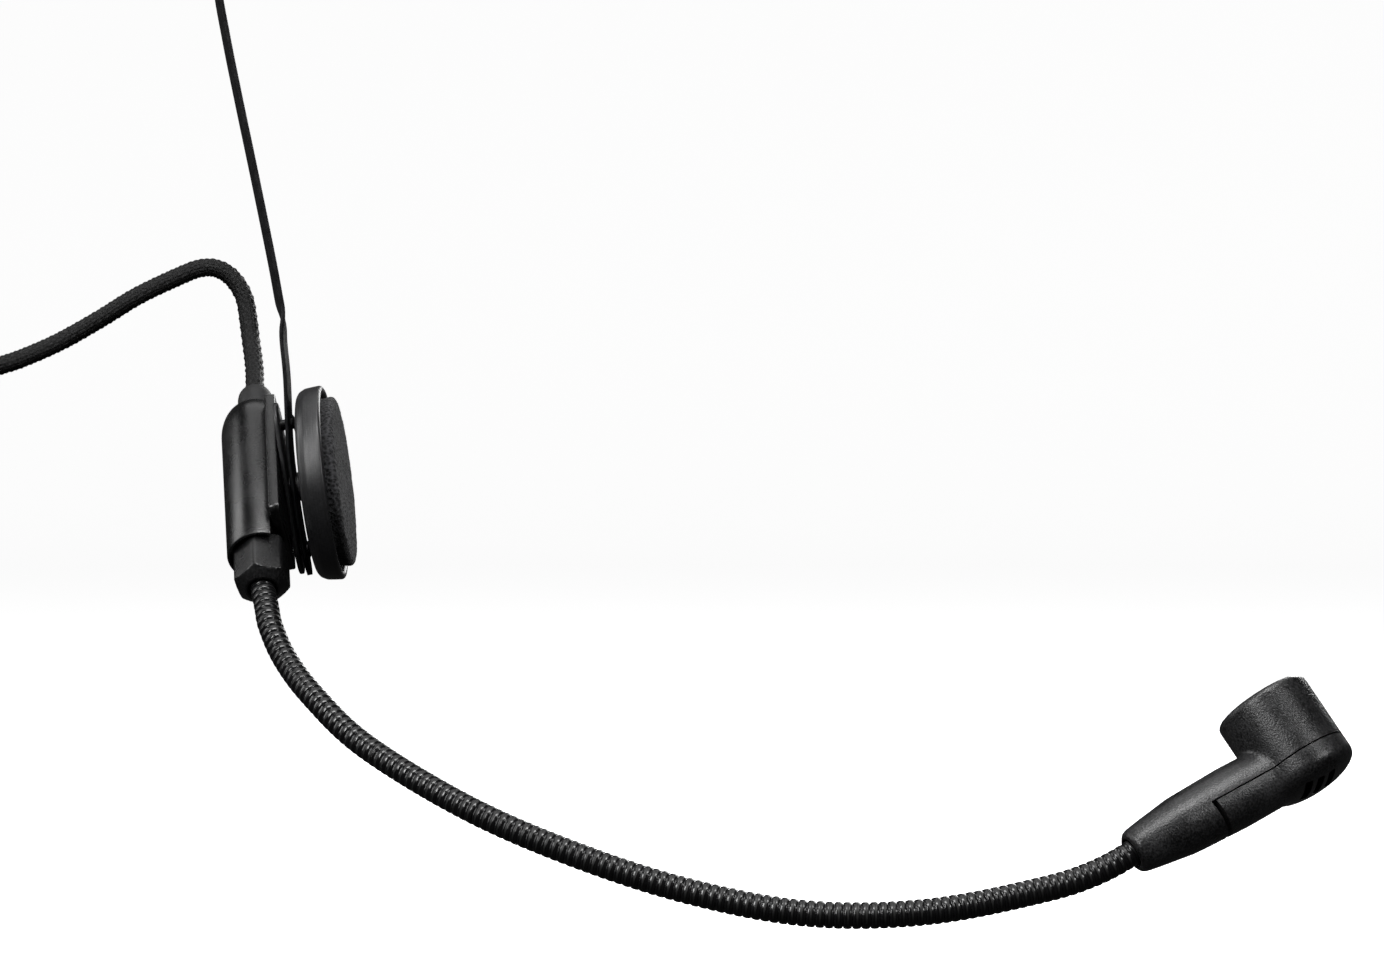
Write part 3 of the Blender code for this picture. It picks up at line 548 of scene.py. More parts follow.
def satin_metal(name, low, high, roughness, metallic, specular=0.3):
    """Finished metal with faint lines along one way and small scuffs."""
    look = Look(name, roughness, metallic, specular)
    lines = look.noise(6.0, 3.0, 0.6, look.stretched((60.0, 60.0, 900.0)))
    scuffs = look.noise(420.0, 5.0, 0.7)
    look.colour(scuffs, low, high, 0.42, 0.72)
    look.rough(lines, roughness - 0.07, roughness + 0.09)
    look.bump(lines, 0.12, 0.00004)
    return look.material


def brushed_plastic(axis):
    """Satin cup plastic with fine turned lines round the given axis."""
    look = Look("cup_plastic", 0.4, specular=0.42)
    inputs = {0: look.place.outputs["Object"], 1: axis}
    level = look.node("ShaderNodeVectorMath", inputs, operation="DOT_PRODUCT").outputs["Value"]
    line_place = look.node("ShaderNodeCombineXYZ", {"X": level}).outputs["Vector"]
    lines = look.noise(5200.0, 2.0, 0.7, line_place)
    grains = look.noise(2600.0, 2.0)
    mixed = look.mix(lines, 0.6, grains, 0.4)
    look.colour(mixed, (0.0015, 0.0015, 0.0018), (0.012, 0.012, 0.013), 0.35, 0.65)
    look.rough(look.noise(150.0, 4.0), 0.34, 0.46)
    look.bump(mixed, 0.5, 0.00012)
    return look.material


def open_foam():
    """Charcoal open-cell foam: dark cells between paler struts."""
    look = Look("open_foam", 0.95, specular=0.12)
    cells = look.cells(1500.0)
    fine = look.noise(3600.0, 2.0, 0.7)
    mixed = look.mix(cells, 0.75, fine, 0.35)
    look.colour(mixed, (0.0006, 0.0006, 0.0008), (0.028, 0.028, 0.03), 0.3, 0.75)
    look.bump(mixed, 0.9, 0.0005)
    look.plain("Sheen Weight", 0.06)
    look.plain("Sheen Roughness", 0.6)
    return look.material


def braided_textile():
    """Black braid: two families of yarns that cross on the diagonal round the cable."""
    look = Look("braid", 0.5, specular=0.2)
    flat = look.flat()
    around = look.math("MULTIPLY", flat["X"], BRAID_YARNS)
    along = look.math("MULTIPLY", flat["Y"], 1000.0 / BRAID_PITCH)
    weave = look.crossed(look.math("ADD", around, along), look.math("SUBTRACT", around, along))
    fuzz = look.noise(5200.0, 3.0, 0.7)
    mixed = look.mix(weave, 0.7, fuzz, 0.4)
    look.colour(mixed, (0.0002, 0.0002, 0.0002), (0.013, 0.013, 0.0135), 0.3, 0.95)
    look.bump(mixed, 1.0, 0.0005)
    return look.material


def woven_mesh():
    """Fine wire cloth, for the mouth's wires and the cloth behind the slots."""
    look = Look("woven_mesh", 0.45, 0.85)
    flat = look.node("ShaderNodeSeparateXYZ", {"Vector": look.stretched((2200.0,) * 3)})
    weave = look.crossed(flat.outputs["X"], flat.outputs["Z"])
    look.colour(weave, (0.002, 0.002, 0.002), (0.12, 0.12, 0.125), 0.1, 0.6)
    look.bump(weave, 0.8, 0.00015)
    return look.material


def hook_and_loop():
    """A woven strap with a short pile."""
    look = Look("strap_weave", 0.85, specular=0.25)
    pile = look.noise(2400.0, 3.0, 0.7)
    ribs = look.noise(3.0, 2.0, 0.5, look.stretched((300.0, 300.0, 1500.0)))
    mixed = look.mix(pile, 0.6, ribs, 0.4)
    look.colour(mixed, (0.004, 0.004, 0.0045), (0.03, 0.03, 0.032))
    look.bump(mixed, 0.7, 0.00025)
    return look.material


def soft_rubber():
    """Matt rubber with a little dust in it."""
    look = Look("soft_rubber", 0.55, specular=0.35)
    dust = look.noise(700.0, 5.0, 0.7)
    look.colour(dust, (0.0015, 0.0015, 0.0018), (0.008, 0.008, 0.0085), 0.4, 0.75)
    look.rough(dust, 0.55, 0.72)
    look.bump(look.noise(3000.0, 2.0), 0.2, 0.0001)
    return look.material


def gloss_black_rings():
    """The gooseneck's gloss black finish, rubbed dull along the crowns of its rings."""
    look = Look("gloss_black", 0.2, 0.0, 0.36)
    turns = look.math("MULTIPLY", look.flat()["Y"], 1.0 / (RING_PITCH * MM))
    groove = look.math("PINGPONG", look.math("ADD", turns, 0.5), 0.5)
    groove = look.math("MULTIPLY", groove, 2.0)
    scuffs = look.noise(900.0, 4.0, 0.7)
    tone = look.math("MULTIPLY", scuffs, groove)
    look.colour(tone, (0.0004, 0.0004, 0.0005), (0.007, 0.007, 0.0075), 0.1, 0.6)
    wear = look.math("MULTIPLY", look.noise(260.0, 3.0), 0.14)
    rubbed = look.math("SUBTRACT", 1.0, look.math("MULTIPLY", groove, 3.0))
    rubbed = look.math("MAXIMUM", rubbed, 0.0)
    rough = look.math("ADD", look.math("MULTIPLY_ADD", rubbed, 0.5, 0.15), wear)
    look.links.new(rough, look.shader.inputs["Roughness"])
    look.bump(look.noise(2600.0, 2.0), 0.08, 0.00005)
    return look.material


def make_looks():
    """Each finish's material, under the name that the pieces ask for."""
    dark = (0.0006, 0.0006, 0.0007)
    return {
        "moulded": grained_plastic("moulded", dark, (0.013, 0.013, 0.0135), 0.27, 3000.0, 0.24),
        "head": grained_plastic("head_plastic", dark, (0.028, 0.028, 0.029), 0.31, 3000.0, 0.5),
        "nut": grained_plastic("nut_plastic", dark, (0.012, 0.012, 0.0125), 0.26, 3000.0, 0.22),
        "cup_plastic": brushed_plastic(PAD_AXIS),
        "foam": open_foam(),
        "braid": braided_textile(),
        "gooseneck": gloss_black_rings(),
        "spring_steel": satin_metal("spring_steel", (0.005, 0.005, 0.0055), (0.016, 0.016, 0.017),
                                    0.45, 0.0, 0.06),
        "black_metal": satin_metal("black_metal", (0.006, 0.006, 0.0065), (0.02, 0.02, 0.021),
                                   0.42, 0.0),
        "bright_metal": satin_metal("bright_metal", (0.2, 0.2, 0.205), (0.34, 0.34, 0.345),
                                    0.34, 1.0),
        "contact": satin_metal("contact", (0.62, 0.47, 0.22), (0.8, 0.64, 0.34), 0.22, 1.0),
        "rubber": soft_rubber(),
        "mesh": woven_mesh(),
        "tie": hook_and_loop(),
    }


# ---------- cable


def coil_place(turns, ring, aside):
    """A point of the coil after some turns, at a place in the bundle's own section."""
    angle = tau * turns
    reach = COIL_RADIUS + ring
    return COIL_AT + Vector((aside, reach * cos(angle), -reach * sin(angle)))


def coil_points():
    """Seven turns that lie beside each other, each a seventh of the way round the bundle
    from the last, with the first and the last brought out on top of it."""
    points = []
    count = COIL_TURNS * 96
    for index in range(count + 1):
        turns = COIL_TURNS * index / count
        angle = -tau * turns / COIL_TURNS
        ring, aside = COIL_RING * cos(angle), COIL_RING * sin(angle)
        for away, side in ((turns, -1.9), (COIL_TURNS - turns, 1.9)):
            share = max(0.0, 1.0 - away / 0.14)
            share = share * share * (3.0 - 2.0 * share)
            ring += (6.0 - ring) * share
            aside += (side - aside) * share
        points.append(coil_place(turns, ring, aside))
    return points


def cable_points():
    """The cable's centre line: out of the bushing, over to the coil, round it and down."""
    start = [PIVOT + BOOM_UP * reach for reach in (27.0, 31.4, 34.4)]
    coil = coil_points()
    into = [Vector((-139.6, 12.3, -185.0)), Vector((-140.4, 13.1, -198.0)), coil[0]]
    route = spline_through([*start, *CABLE_ROUTE, *into], 0.36)
    tail = [coil[-1]]
    for beside, down, level in (
        (-0.1, 6.0, 29.0), (-0.4, 12.0, 28.6), (-0.8, 18.0, 26.6),
        (-1.3, 24.0, 24.6), (-1.7, 30.0, 23.4), (-1.9, COIL_AT.z - TAIL_END, 23.1),
    ):
        tail.append(Vector((coil[-1].x + beside, COIL_AT.y + level, COIL_AT.z - down)))
    tail = spline_through(tail, 1.2)
    return smooth_line([*route, *coil[1:], *tail[1:]], 6)


def braid_profile(length, turn):
    """The radius where the braid's yarns cross, over and under."""
    right = abs(((turn * BRAID_YARNS + length / BRAID_PITCH) % 1.0) * 2.0 - 1.0)
    left = abs(((turn * BRAID_YARNS - length / BRAID_PITCH) % 1.0) * 2.0 - 1.0)
    return CABLE_DIAMETER / 2 - 0.22 + 0.42 * sqrt(right * left)


def make_cable(looks):
    """The braided cable, which passes from the boom to the headband in its free stretch."""
    points = cable_points()
    made = tube("cable", points, 48, braid_profile)
    piece(made, looks["braid"], replaces=("mic_cable", "cable_coil", "cable_tail"))
    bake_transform(made)
    make_tie(looks)


def make_tie(looks):
    """A hook-and-loop strap round the coil, its end lying over its start."""
    around = axes(COIL_AT + Vector((0.0, -COIL_RADIUS, 0.0)), UP, Vector((1.0, 0.0, 0.0)))
    rows = []
    count = 72
    for index in range(count + 1):
        turn = index / count * 1.12
        angle = tau * turn
        square = (abs(cos(angle)) ** 4 + abs(sin(angle)) ** 4) ** -0.25
        lift = 0.95 if turn > 1.0 else 0.95 * max(0.0, (turn - 0.93) / 0.07)
        inner = 5.0 + 0.95 * square + lift
        row = []
        for radius, height in ((0.0, -3.2), (0.0, 3.2), (0.85, 3.0), (0.85, -3.0)):
            reach = inner + radius
            place = Vector((reach * cos(angle), reach * sin(angle), height))
            row.append(around @ place)
        rows.append(row)
    made = skin("coil_tie", rows, [index * 0.0005 for index in range(count + 1)])
    broken_edges(made, 0.0002, 2)
    made = shade(baked(made))
    return piece(made, looks["tie"], "headband", ("cable_tie",))


# ---------- gooseneck


def ring_profile(length):
    """The radius of a flattened wire wound turn against turn, with a narrow groove between."""
    across = abs((length / RING_PITCH % 1.0) * 2.0 - 1.0)
    return NECK_RADIUS + 0.03 - 0.16 * across**2 - 0.3 * across**10


def neck_line():
    """The gooseneck's centre line, from inside the gland nut to inside the microphone."""
    start = [PIVOT - BOOM_UP * reach for reach in (17.3, 27.7)]
    finish = [HEAD_AT + HEAD_X * reach for reach in (-7.0, 0.0, NECK_INSIDE)]
    return spline_through([*start, *NECK_ROUTE, *finish], NECK_STEP)


def make_gooseneck(looks):
    """The wound tube as ten lengths, one over each joint and one at each end."""
    coarse = neck_line()
    count = len(coarse) - 1
    hinges = [coarse[round(count * link / NECK_LINKS)] for link in range(1, NECK_LINKS)]
    fine = smooth_line(spline_through(coarse, NECK_FINE), 8)
    lengths = travelled(fine)
    frames = carried_axes(fine)
    at_hinge = []
    for hinge in hinges:
        nearest = min(range(len(fine)), key=lambda index: (fine[index] - hinge).length)
        at_hinge.append(nearest)
    ends = [0, *at_hinge, len(fine) - 1]
    middles = [(first + last) // 2 for first, last in zip(ends, ends[1:])]
    cuts = [0, *middles, len(fine) - 1]
    for index, (first, last) in enumerate(zip(cuts, cuts[1:])):
        rows = []
        for place in range(first, last + 1):
            _, side, other = frames[place]
            reach = ring_profile(lengths[place])
            row = []
            for step in range(32):
                angle = tau * step / 32
                out = side * cos(angle) + other * sin(angle)
                row.append(fine[place] + out * reach)
            rows.append(row)
        name = f"neck_skin_{index}"
        made = skin(name, rows, [lengths[place] * MM for place in range(first, last + 1)])
        made.data.set_sharp_from_angle(angle=radians(170.0))
        body = {0: "boom", NECK_LINKS: "microphone"}.get(index)
        stands_for = () if index == NECK_LINKS else (f"gooseneck_{index + 1}",)
        piece(made, looks["gooseneck"], body, stands_for)
        if not body:
            hinge = at_hinge[index - 1]
            reach = round(NECK_BLEND / NECK_FINE)
            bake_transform(made)


# ---------- microphone head


def head_section(x):
    """The neck's radius at a distance along it, eased between the CAD's sections."""
    sections = [(0.0, 3.7), (0.6, 4.2), (1.6, 4.45), (4.9, 4.95), (8.0, 5.35), (11.2, 5.8)]
    sections += [(16.0, 5.98), (23.0, 6.2), (30.0, 6.1), (CAPSULE_AT, 5.7)]
    for (low, first), (high, second) in zip(sections, sections[1:]):
        if x <= high:
            return first + (second - first) * (x - low) / (high - low)
    return sections[-1][1]


def capsule_profile(radius, top, start, depth, edge):
    """A round case with a softened front edge and a shallow dome for its back."""
    profile = [(0.0, top), (radius - edge, top)]
    for step in range(1, 5):
        angle = radians(90 * step / 4)
        profile.append((radius - edge + edge * sin(angle), top - edge + edge * cos(angle)))
    profile.append((radius, start))
    for step in range(1, 17):
        angle = radians(90 * step / 16)
        reach = radius * cos(angle) ** 0.9 if step < 16 else 0.0
        profile.append((reach, start - depth * sin(angle)))
    return profile


def head_form():
    """The whole outside of the microphone head as one smooth form with its inner corners
    filleted."""
    places = [0.0, 0.15, 0.35, 0.6, 1.0, 1.6, 2.5, 3.5]
    places += [4.9 + 0.75 * step for step in range(45)]
    places = [x for x in places if x < CAPSULE_AT] + [CAPSULE_AT]
    profile = [(0.0, 0.0)]
    profile += [(head_section(x), x) for x in places]
    profile.append((0.0, CAPSULE_AT + 0.5))
    neck = lathe("neck_form", profile, ALONG_HEAD, 72)
    form = capsule_profile(CAPSULE_RADIUS, MOUTH_TOP, DOME_START, DOME_DEPTH, 0.9)
    case = lathe("case_form", form, CAPSULE, 96)
    whole = cut(neck, case, operation="UNION")
    whole.name = "head_form"
    remesh = whole.modifiers.new("Remesh", "REMESH")
    remesh.mode = "VOXEL"
    remesh.voxel_size = 0.00033
    relax = whole.modifiers.new("Relax", "SMOOTH")
    relax.factor = 0.5
    relax.iterations = 26
    return baked(whole)


def cover_block(side):
    """The space the cover fills, with half the gap added (side 1) or taken off (side -1)."""
    size = 60.0
    start = size / 2 - side * COVER_END_GAP
    below = side * COVER_GAP - size / 2
    shape = block((size, size, size), (start, 0.0, below), Matrix())
    slant = Matrix.Identity(4)
    slant[0][2] = -tan(COVER_SLANT)
    shape.data.transform(slant)
    corner = HEAD @ Matrix.Translation((COVER_START, 0.0, 0.0))
    corner.translation = corner.translation * MM
    shape.data.transform(corner)
    return shape


def head_insides():
    """The cutters for the capsule's chamber, its flared mouth and the passage in the neck."""
    inside = CAPSULE_RADIUS - CAPSULE_WALL
    low = DOME_START - DOME_DEPTH + 1.8
    chamber = [(0.0, MOUTH_TOP + 2.0), (inside + 1.5, MOUTH_TOP + 2.0)]
    chamber += [(inside + 1.1, MOUTH_TOP + 0.1), (inside + 0.35, MOUTH_TOP - 0.45)]
    chamber += [(inside, MOUTH_TOP - 1.3), (inside, DOME_START)]
    chamber += [(inside * 0.7, low + 0.3), (0.0, low)]
    passage = [(0.0, CAPSULE_AT), (2.6, CAPSULE_AT), (2.6, 11.6), (3.9, 11.6), (3.9, 6.5)]
    passage += [(2.75, 6.5), (2.75, 0.6), (3.2, -0.3), (3.2, -2.0), (0.0, -2.0)]
    return [lathe("chamber", chamber, CAPSULE, 72), lathe("passage", passage, ALONG_HEAD, 48)]


def make_head(looks):
    """The body shell and the cover shell, parted by a narrow gap, and the cover's slots."""
    form = head_form()
    shells = {}
    for name, side, operation in (("head_body", 1, "DIFFERENCE"), ("head_cover", -1, "INTERSECT")):
        shell = new_object(name, form.data.copy())
        shell = cut(shell, cover_block(side), operation=operation)
        shell = cut(shell, *head_insides())
        if name == "head_cover":
            slots = []
            for along in SLOTS:
                slots.append(block(SLOT_SIZE, (along, -2.4, -4.8), HEAD, 0.5))
            shell = cut(shell, *slots)
        shell.name = name
        shells[name] = shade(shell, 40.0)
    drop(form)
    piece(shells["head_body"], looks["head"], "microphone", ("mic_body",))
    piece(shells["head_cover"], looks["head"], "microphone", ("mic_cover",))


def add_wire(shape, row, flip):
    """One wire of the grille, which runs over and under the wires that cross it."""
    offset = row * WIRE_PITCH
    reach = sqrt(max(0.0, GRILLE_RADIUS**2 - offset**2))
    steps = max(4, int(2 * reach / 0.16))
    points = []
    for step in range(steps + 1):
        along = -reach + 2 * reach * step / steps
        phase = 0.0 if row % 2 else pi
        wave = WIRE_WAVE * cos(pi * along / WIRE_PITCH + phase)
        wave = -wave if flip else wave
        crown = GRILLE_CROWN * (1.0 - (along**2 + offset**2) / 54.0)
        x, y = (offset, along) if flip else (along, offset)
        points.append(Vector((x, y, WIRE_LEVEL + crown + wave)))
    made = []
    for point, (_, side, other) in zip(points, carried_axes(points)):
        loop = []
        for step in range(5):
            angle = tau * step / 5
            place = point + (side * cos(angle) + other * sin(angle)) * WIRE_RADIUS
            loop.append(shape.verts.new(CAPSULE @ place * MM))
        made.append(loop)
    for first, second in zip(made, made[1:]):
        for step in range(5):
            after = (step + 1) % 5
            shape.faces.new((first[step], first[after], second[after], second[step]))
    shape.faces.new(list(reversed(made[0])))
    shape.faces.new(made[-1])


def make_mouth(looks):
    """The mouth's grille as a crowned mesh of wires over its foam, in a rolled ring."""
    profile = rounded([(6.5, 12.4), (7.4, 12.4), (7.4, 13.3), (6.5, 13.3)], 0.4, closed=True)
    ring = lathe("mouth_ring", profile, CAPSULE, 72, closed=True)
    piece(ring, looks["black_metal"], "microphone", ("grille_ring",))
    shape = bmesh.new()
    count = int(7.3 / WIRE_PITCH)
    for row in range(-count, count + 1):
        for flip in (False, True):
            add_wire(shape, row, flip)
    grille = shade(from_bmesh("mouth_wires", shape), 60.0)
    piece(grille, looks["mesh"], "microphone", ("mouth_grille",))
    profile = rounded([(0.0, 11.1), (6.9, 11.0), (7.2, 10.6), (7.2, 8.6), (0.0, 8.6)], 0.5)
    foam = lathe("mouth_pad", profile, CAPSULE, 64)
    piece(foam, looks["foam"], "microphone", ("mouth_foam",))


# ---------- boom


def make_housing(looks):
    """The turned housing with its dome, its flat side and the recess for the nut."""
    dome = []
    for step in range(15):
        angle = radians(90 * step / 14)
        reach = 3.6 + (HOUSING_RADIUS - 3.6) * sin(angle)
        dome.append((reach, DOME_FOOT + (DOME_TOP - DOME_FOOT) * cos(angle)))
    low = HOUSING_LOW
    rim = [(HOUSING_LOW_RADIUS, low + 0.55), (HOUSING_LOW_RADIUS - 0.12, low + 0.15)]
    rim += [(HOUSING_LOW_RADIUS - 0.35, low), (RECESS_RADIUS + 0.1, low)]
    rim += [(RECESS_RADIUS, low + 0.1)]
    profile = [(3.05, DOME_TOP), *dome, *rim, (RECESS_RADIUS, RECESS_TOP), (2.3, RECESS_TOP)]
    profile += [(2.3, 14.0), (3.05, 14.0)]
    made = lathe("housing", profile, BOOM, 128, closed=True)
    flat = block((6.0, 20.0, 60.0), (FLAT_SIDE + 3.0, 0.0, 9.1), BOOM)
    pocket = lathe("pocket", [(0.0, 5.0), (3.7, 5.0), (3.7, 0.7), (0.0, 0.7)], FLANGE, 32)
    made = cut(made, flat, pocket, solver="EXACT")
    broken_edges(made, 0.0003, 3, 50.0)
    made = shade(baked(made), 40.0)
    piece(made, looks["moulded"], "boom", ("boom_housing",))


def plate_form(name, size, low, high, matrix, shift=0.0, edge=0.35, steps=8):
    """A flat plate with round corners and softened edges, its length along the matrix's X."""
    length, width, corner = size
    rows = []
    layers = []
    for step in range(4):
        angle = radians(90 * step / 3)
        layers.append((edge * (1 - sin(angle)), low + edge * (1 - cos(angle))))
    layers += [(inset, low + high - level) for inset, level in reversed(layers)]
    for inset, level in layers:
        row = []
        centres = [(1, 1, 0), (-1, 1, 90), (-1, -1, 180), (1, -1, 270)]
        for side_x, side_y, start in centres:
            for step in range(steps + 1):
                angle = radians(start + 90 * step / steps)
                reach = corner - inset
                x = side_x * (length / 2 - corner) + reach * cos(angle)
                y = side_y * (width / 2 - corner) + reach * sin(angle)
                row.append(matrix @ Vector((x + shift, y, level)))
        rows.append(row)
    made = skin(name, rows, [index * 0.0004 for index in range(len(rows))])
    return shade(made, 50.0)


def make_flange(looks):
    """The plate that closes the housing, with its screws' countersinks."""
    low = FLAT_SIDE + 0.3
    size = (FLANGE_LENGTH, FLANGE_WIDTH, FLANGE_CORNER)
    made = plate_form("flange", size, low, low + FLANGE_THICK, FLANGE, FLANGE_SHIFT, 0.32)
    holes = [lathe("hole", [(0.0, 8.0), (2.5, 8.0), (2.5, 2.0), (0.0, 2.0)], FLANGE, 32)]
    for side in (1, -1):
        place = FLANGE @ Matrix.Translation((side * 11.5, side * 5.0, 0.0))
        hole = [(0.0, 8.0), (2.3, 8.0), (2.3, 5.3), (2.0, 5.0), (2.0, 2.0), (0.0, 2.0)]
        holes.append(lathe("hole", hole, place, 32))
    made = shade(cut(made, *holes, solver="EXACT"), 40.0)
    piece(made, looks["moulded"], "boom", ("flange_plate",))


def make_nut(looks):
    """The hexagonal gland nut, its edges just broken and its end chamfered."""
    top = RECESS_TOP - 0.3
    turn = BOOM @ Matrix.Rotation(HEX_TURN, 4, "Z")
    rows = []
    levels = [(0.4, top), (0.0, top - 0.4), (0.0, HEX_END + 2.4), (0.0, HEX_END + 2.2)]
    levels += [(0.0, HEX_END + step * 0.2) for step in range(10, -1, -1)]
    for inset, level in levels:
        cone = 3.5 + (level - HEX_END) * 2.7 / 2.2
        row = []
        for step in range(144):
            angle = tau * step / 144
            within = (angle + pi / 6) % (pi / 3) - pi / 6
            from_flat = pi / 6 - abs(within)
            flat = HEX_RADIUS * cos(pi / 6) / cos(from_flat)
            reach = min(flat, HEX_RADIUS - 0.16, cone) - inset
            row.append(turn @ Vector((reach * cos(angle), reach * sin(angle), level)))
        rows.append(row)
    made = skin("hex_nut", rows, [index * 0.0005 for index in range(len(rows))])
    bore = [(0.0, -16.0), (3.9, -16.0), (3.9, -24.0), (2.75, -24.0), (2.75, HEX_END + 0.6)]
    bore += [(3.2, HEX_END - 0.2), (3.2, HEX_END - 1.0), (0.0, HEX_END - 1.0)]
    made = shade(cut(made, lathe("bore", bore, BOOM, 48), solver="EXACT"), 25.0)
    piece(made, looks["nut"], "boom", ("gland_nut",))


def make_bushing(looks):
    """The moulded rubber bushing, its end rolled over where the cable leaves it."""
    profile = [(2.0, BUSH_END), (2.45, BUSH_END), (3.1, BUSH_END - 0.45)]
    profile += [(3.5, BUSH_END - 1.3), (3.68, BUSH_END - 2.4), (3.7, DOME_TOP + 0.3)]
    profile += [(2.75, DOME_TOP + 0.3), (2.75, 14.3), (2.0, 14.3)]
    made = lathe("bushing", rounded(profile, 0.3, closed=True), BOOM, 72, closed=True)
    piece(made, looks["rubber"], "boom", ("cable_bushing",))


# ---------- headband


def in_stack(level, up):
    """A place at a level along the pivot's axis and a height along the strip there."""
    return PIVOT + PIVOT_AXIS * level + STRIP_UP * up


def strip_route():
    """The strip's middle line: past the pivot, round the arch and down the far leg."""
    lower = [(7.75, -18.2), (7.4, -9.0), (7.45, 0.0), (7.85, 9.0), (9.35, 22.2), (9.85, 30.0)]
    route = [in_stack(level, up) for level, up in lower]
    upper = [(-63.6, -157.3), (-64.4, -153.3), (-65.9, -145.2), (-69.25, -128.8)]
    upper += [(-72.7, -112.4), (-75.2, -100.0), (-77.2, -88.0)]
    for across, up in upper:
        route.append(ACROSS * across + Vector((0.0, 0.0, up)))
    for degrees in range(178, 20, -13):
        angle = radians(degrees)
        up = ARCH_FOOT_Z + ARCH_RISE * sin(angle)
        route.append(ACROSS * (ARCH_HALF_SPAN * cos(angle)) + Vector((0.0, 0.0, up)))
    for across, up in [(76.1, -52.0), (77.6, -66.0), (78.6, -76.0), (79.4, -84.0)]:
        route.append(ACROSS * across + Vector((0.0, 0.0, up)))
    return route


def make_strip(looks):
    """The spring strip, rolled edges and round ends, twisted once above the clip."""
    points = spline_through(strip_route(), 1.0)
    half, thick = STRIP_WIDTH / 2, STRIP_THICK / 2
    total = travelled(points)[-1]
    rows = []
    heights = []
    for point, place, (along, _, _) in zip(points, travelled(points), carried_axes(points)):
        inside = min(max(min(place, total - place), 0.05), half)
        reach = sqrt(half**2 - (half - inside) ** 2)
        turn = min(1.0, max(0.0, (point.z - KINK_Z) / TWIST_LENGTH + 0.5))
        turn = turn * turn * (3.0 - 2.0 * turn)
        wide = Vector((0.0, 1.0, 0.0)).lerp(BAND_WIDE, turn)
        wide = (wide - along * wide.dot(along)).normalized()
        out = along.cross(wide)
        row = []
        for step in range(24):
            angle = tau * step / 24
            x = copysign(abs(cos(angle)) ** 0.28, cos(angle)) * reach
            y = copysign(abs(sin(angle)) ** 0.75, sin(angle)) * thick
            row.append(point + wide * x + out * y)
        rows.append(row)
        heights.append(place * MM)
    made = shade(skin("strip", rows, heights), 60.0)
    piece(made, looks["spring_steel"], "headband", ("headband_strip",))


def make_clip(looks):
    """The plate riveted along the strip at the pivot."""
    stack = axes(PIVOT, PIVOT_AXIS, STRIP_UP)
    size = (CLIP_LENGTH, CLIP_WIDTH, 5.0)
    made = plate_form("clip", size, CLIP_FACE, CLIP_FACE + CLIP_THICK, stack, 0.0, 0.22, 12)
    hole = lathe("hole", [(0.0, 8.0), (2.5, 8.0), (2.5, 5.0), (0.0, 5.0)], stack, 32)
    made = shade(cut(made, hole, solver="EXACT"), 40.0)
    piece(made, looks["black_metal"], "headband", ("clip_plate",))


# ---------- pads


def make_pad(prefix, matrix, body, looks):
    """The cup, turned with a rolled lip and a shallow step, and the foam crowned inside it."""
    floor = 1.2
    profile = [(18.35, CUP_FRONT - 0.35), (18.8, CUP_FRONT), (CUP_RADIUS - 0.45, CUP_FRONT)]
    profile += [(CUP_RADIUS, CUP_FRONT - 0.5), (CUP_RADIUS - 0.12, 2.6), (19.7, 1.0)]
    profile += [(19.1, -0.15), (18.3, CUP_BACK + 0.1), (17.6, CUP_BACK), (4.9, CUP_BACK)]
    profile += [(4.9, floor), (18.0, floor), (18.2, CUP_FRONT - 0.9)]
    cup = lathe(f"{prefix}cup", rounded(profile, 0.3, 4, True), matrix, 160, closed=True)
    piece(shade(cup, 50.0), looks["cup_plastic"], body, (f"{prefix}pad_cup",))

    low = floor + 0.3
    face, crown, roll = 16.2, 0.35, 1.1  # the face's radius, its crown, the roll of its edge
    edge = FOAM_FRONT - crown - roll
    profile = []
    for step in range(40):
        share = step / 39
        profile.append((face * share, FOAM_FRONT - crown * share**3))
    for step in range(1, 9):
        angle = radians(90 * step / 8)
        reach = face + (FOAM_RADIUS - face) * sin(angle)
        profile.append((reach, edge + roll * cos(angle)))
    for step in range(1, 14):
        share = step / 13
        profile.append((FOAM_RADIUS - 0.25 * sin(pi * share), edge + (low - edge) * share))
    profile += [(7.4, low), (7.4, 2.8), (0.0, 2.8)]
    foam = lathe(f"{prefix}foam", profile, matrix, 220)
    back = matrix.inverted()
    mesh = foam.data
    mesh.update()
    for vertex in mesh.vertices:
        place = back @ (vertex.co / MM)
        if place.z < low + 0.2 and hypot(place.x, place.y) < FOAM_RADIUS - 0.6:
            continue
        cell = noise.noise(place * 1.9) * 0.09 + noise.noise(place * 4.3) * 0.06
        broad = noise.noise(place * 0.22) * 0.12
        vertex.co = vertex.co + vertex.normal * (cell + broad - 0.06) * MM
    foam.data.update()
    shade(foam, 75.0)
    piece(foam, looks["foam"], body, (f"{prefix}pad_foam",))


# ---------- what stays from the CAD


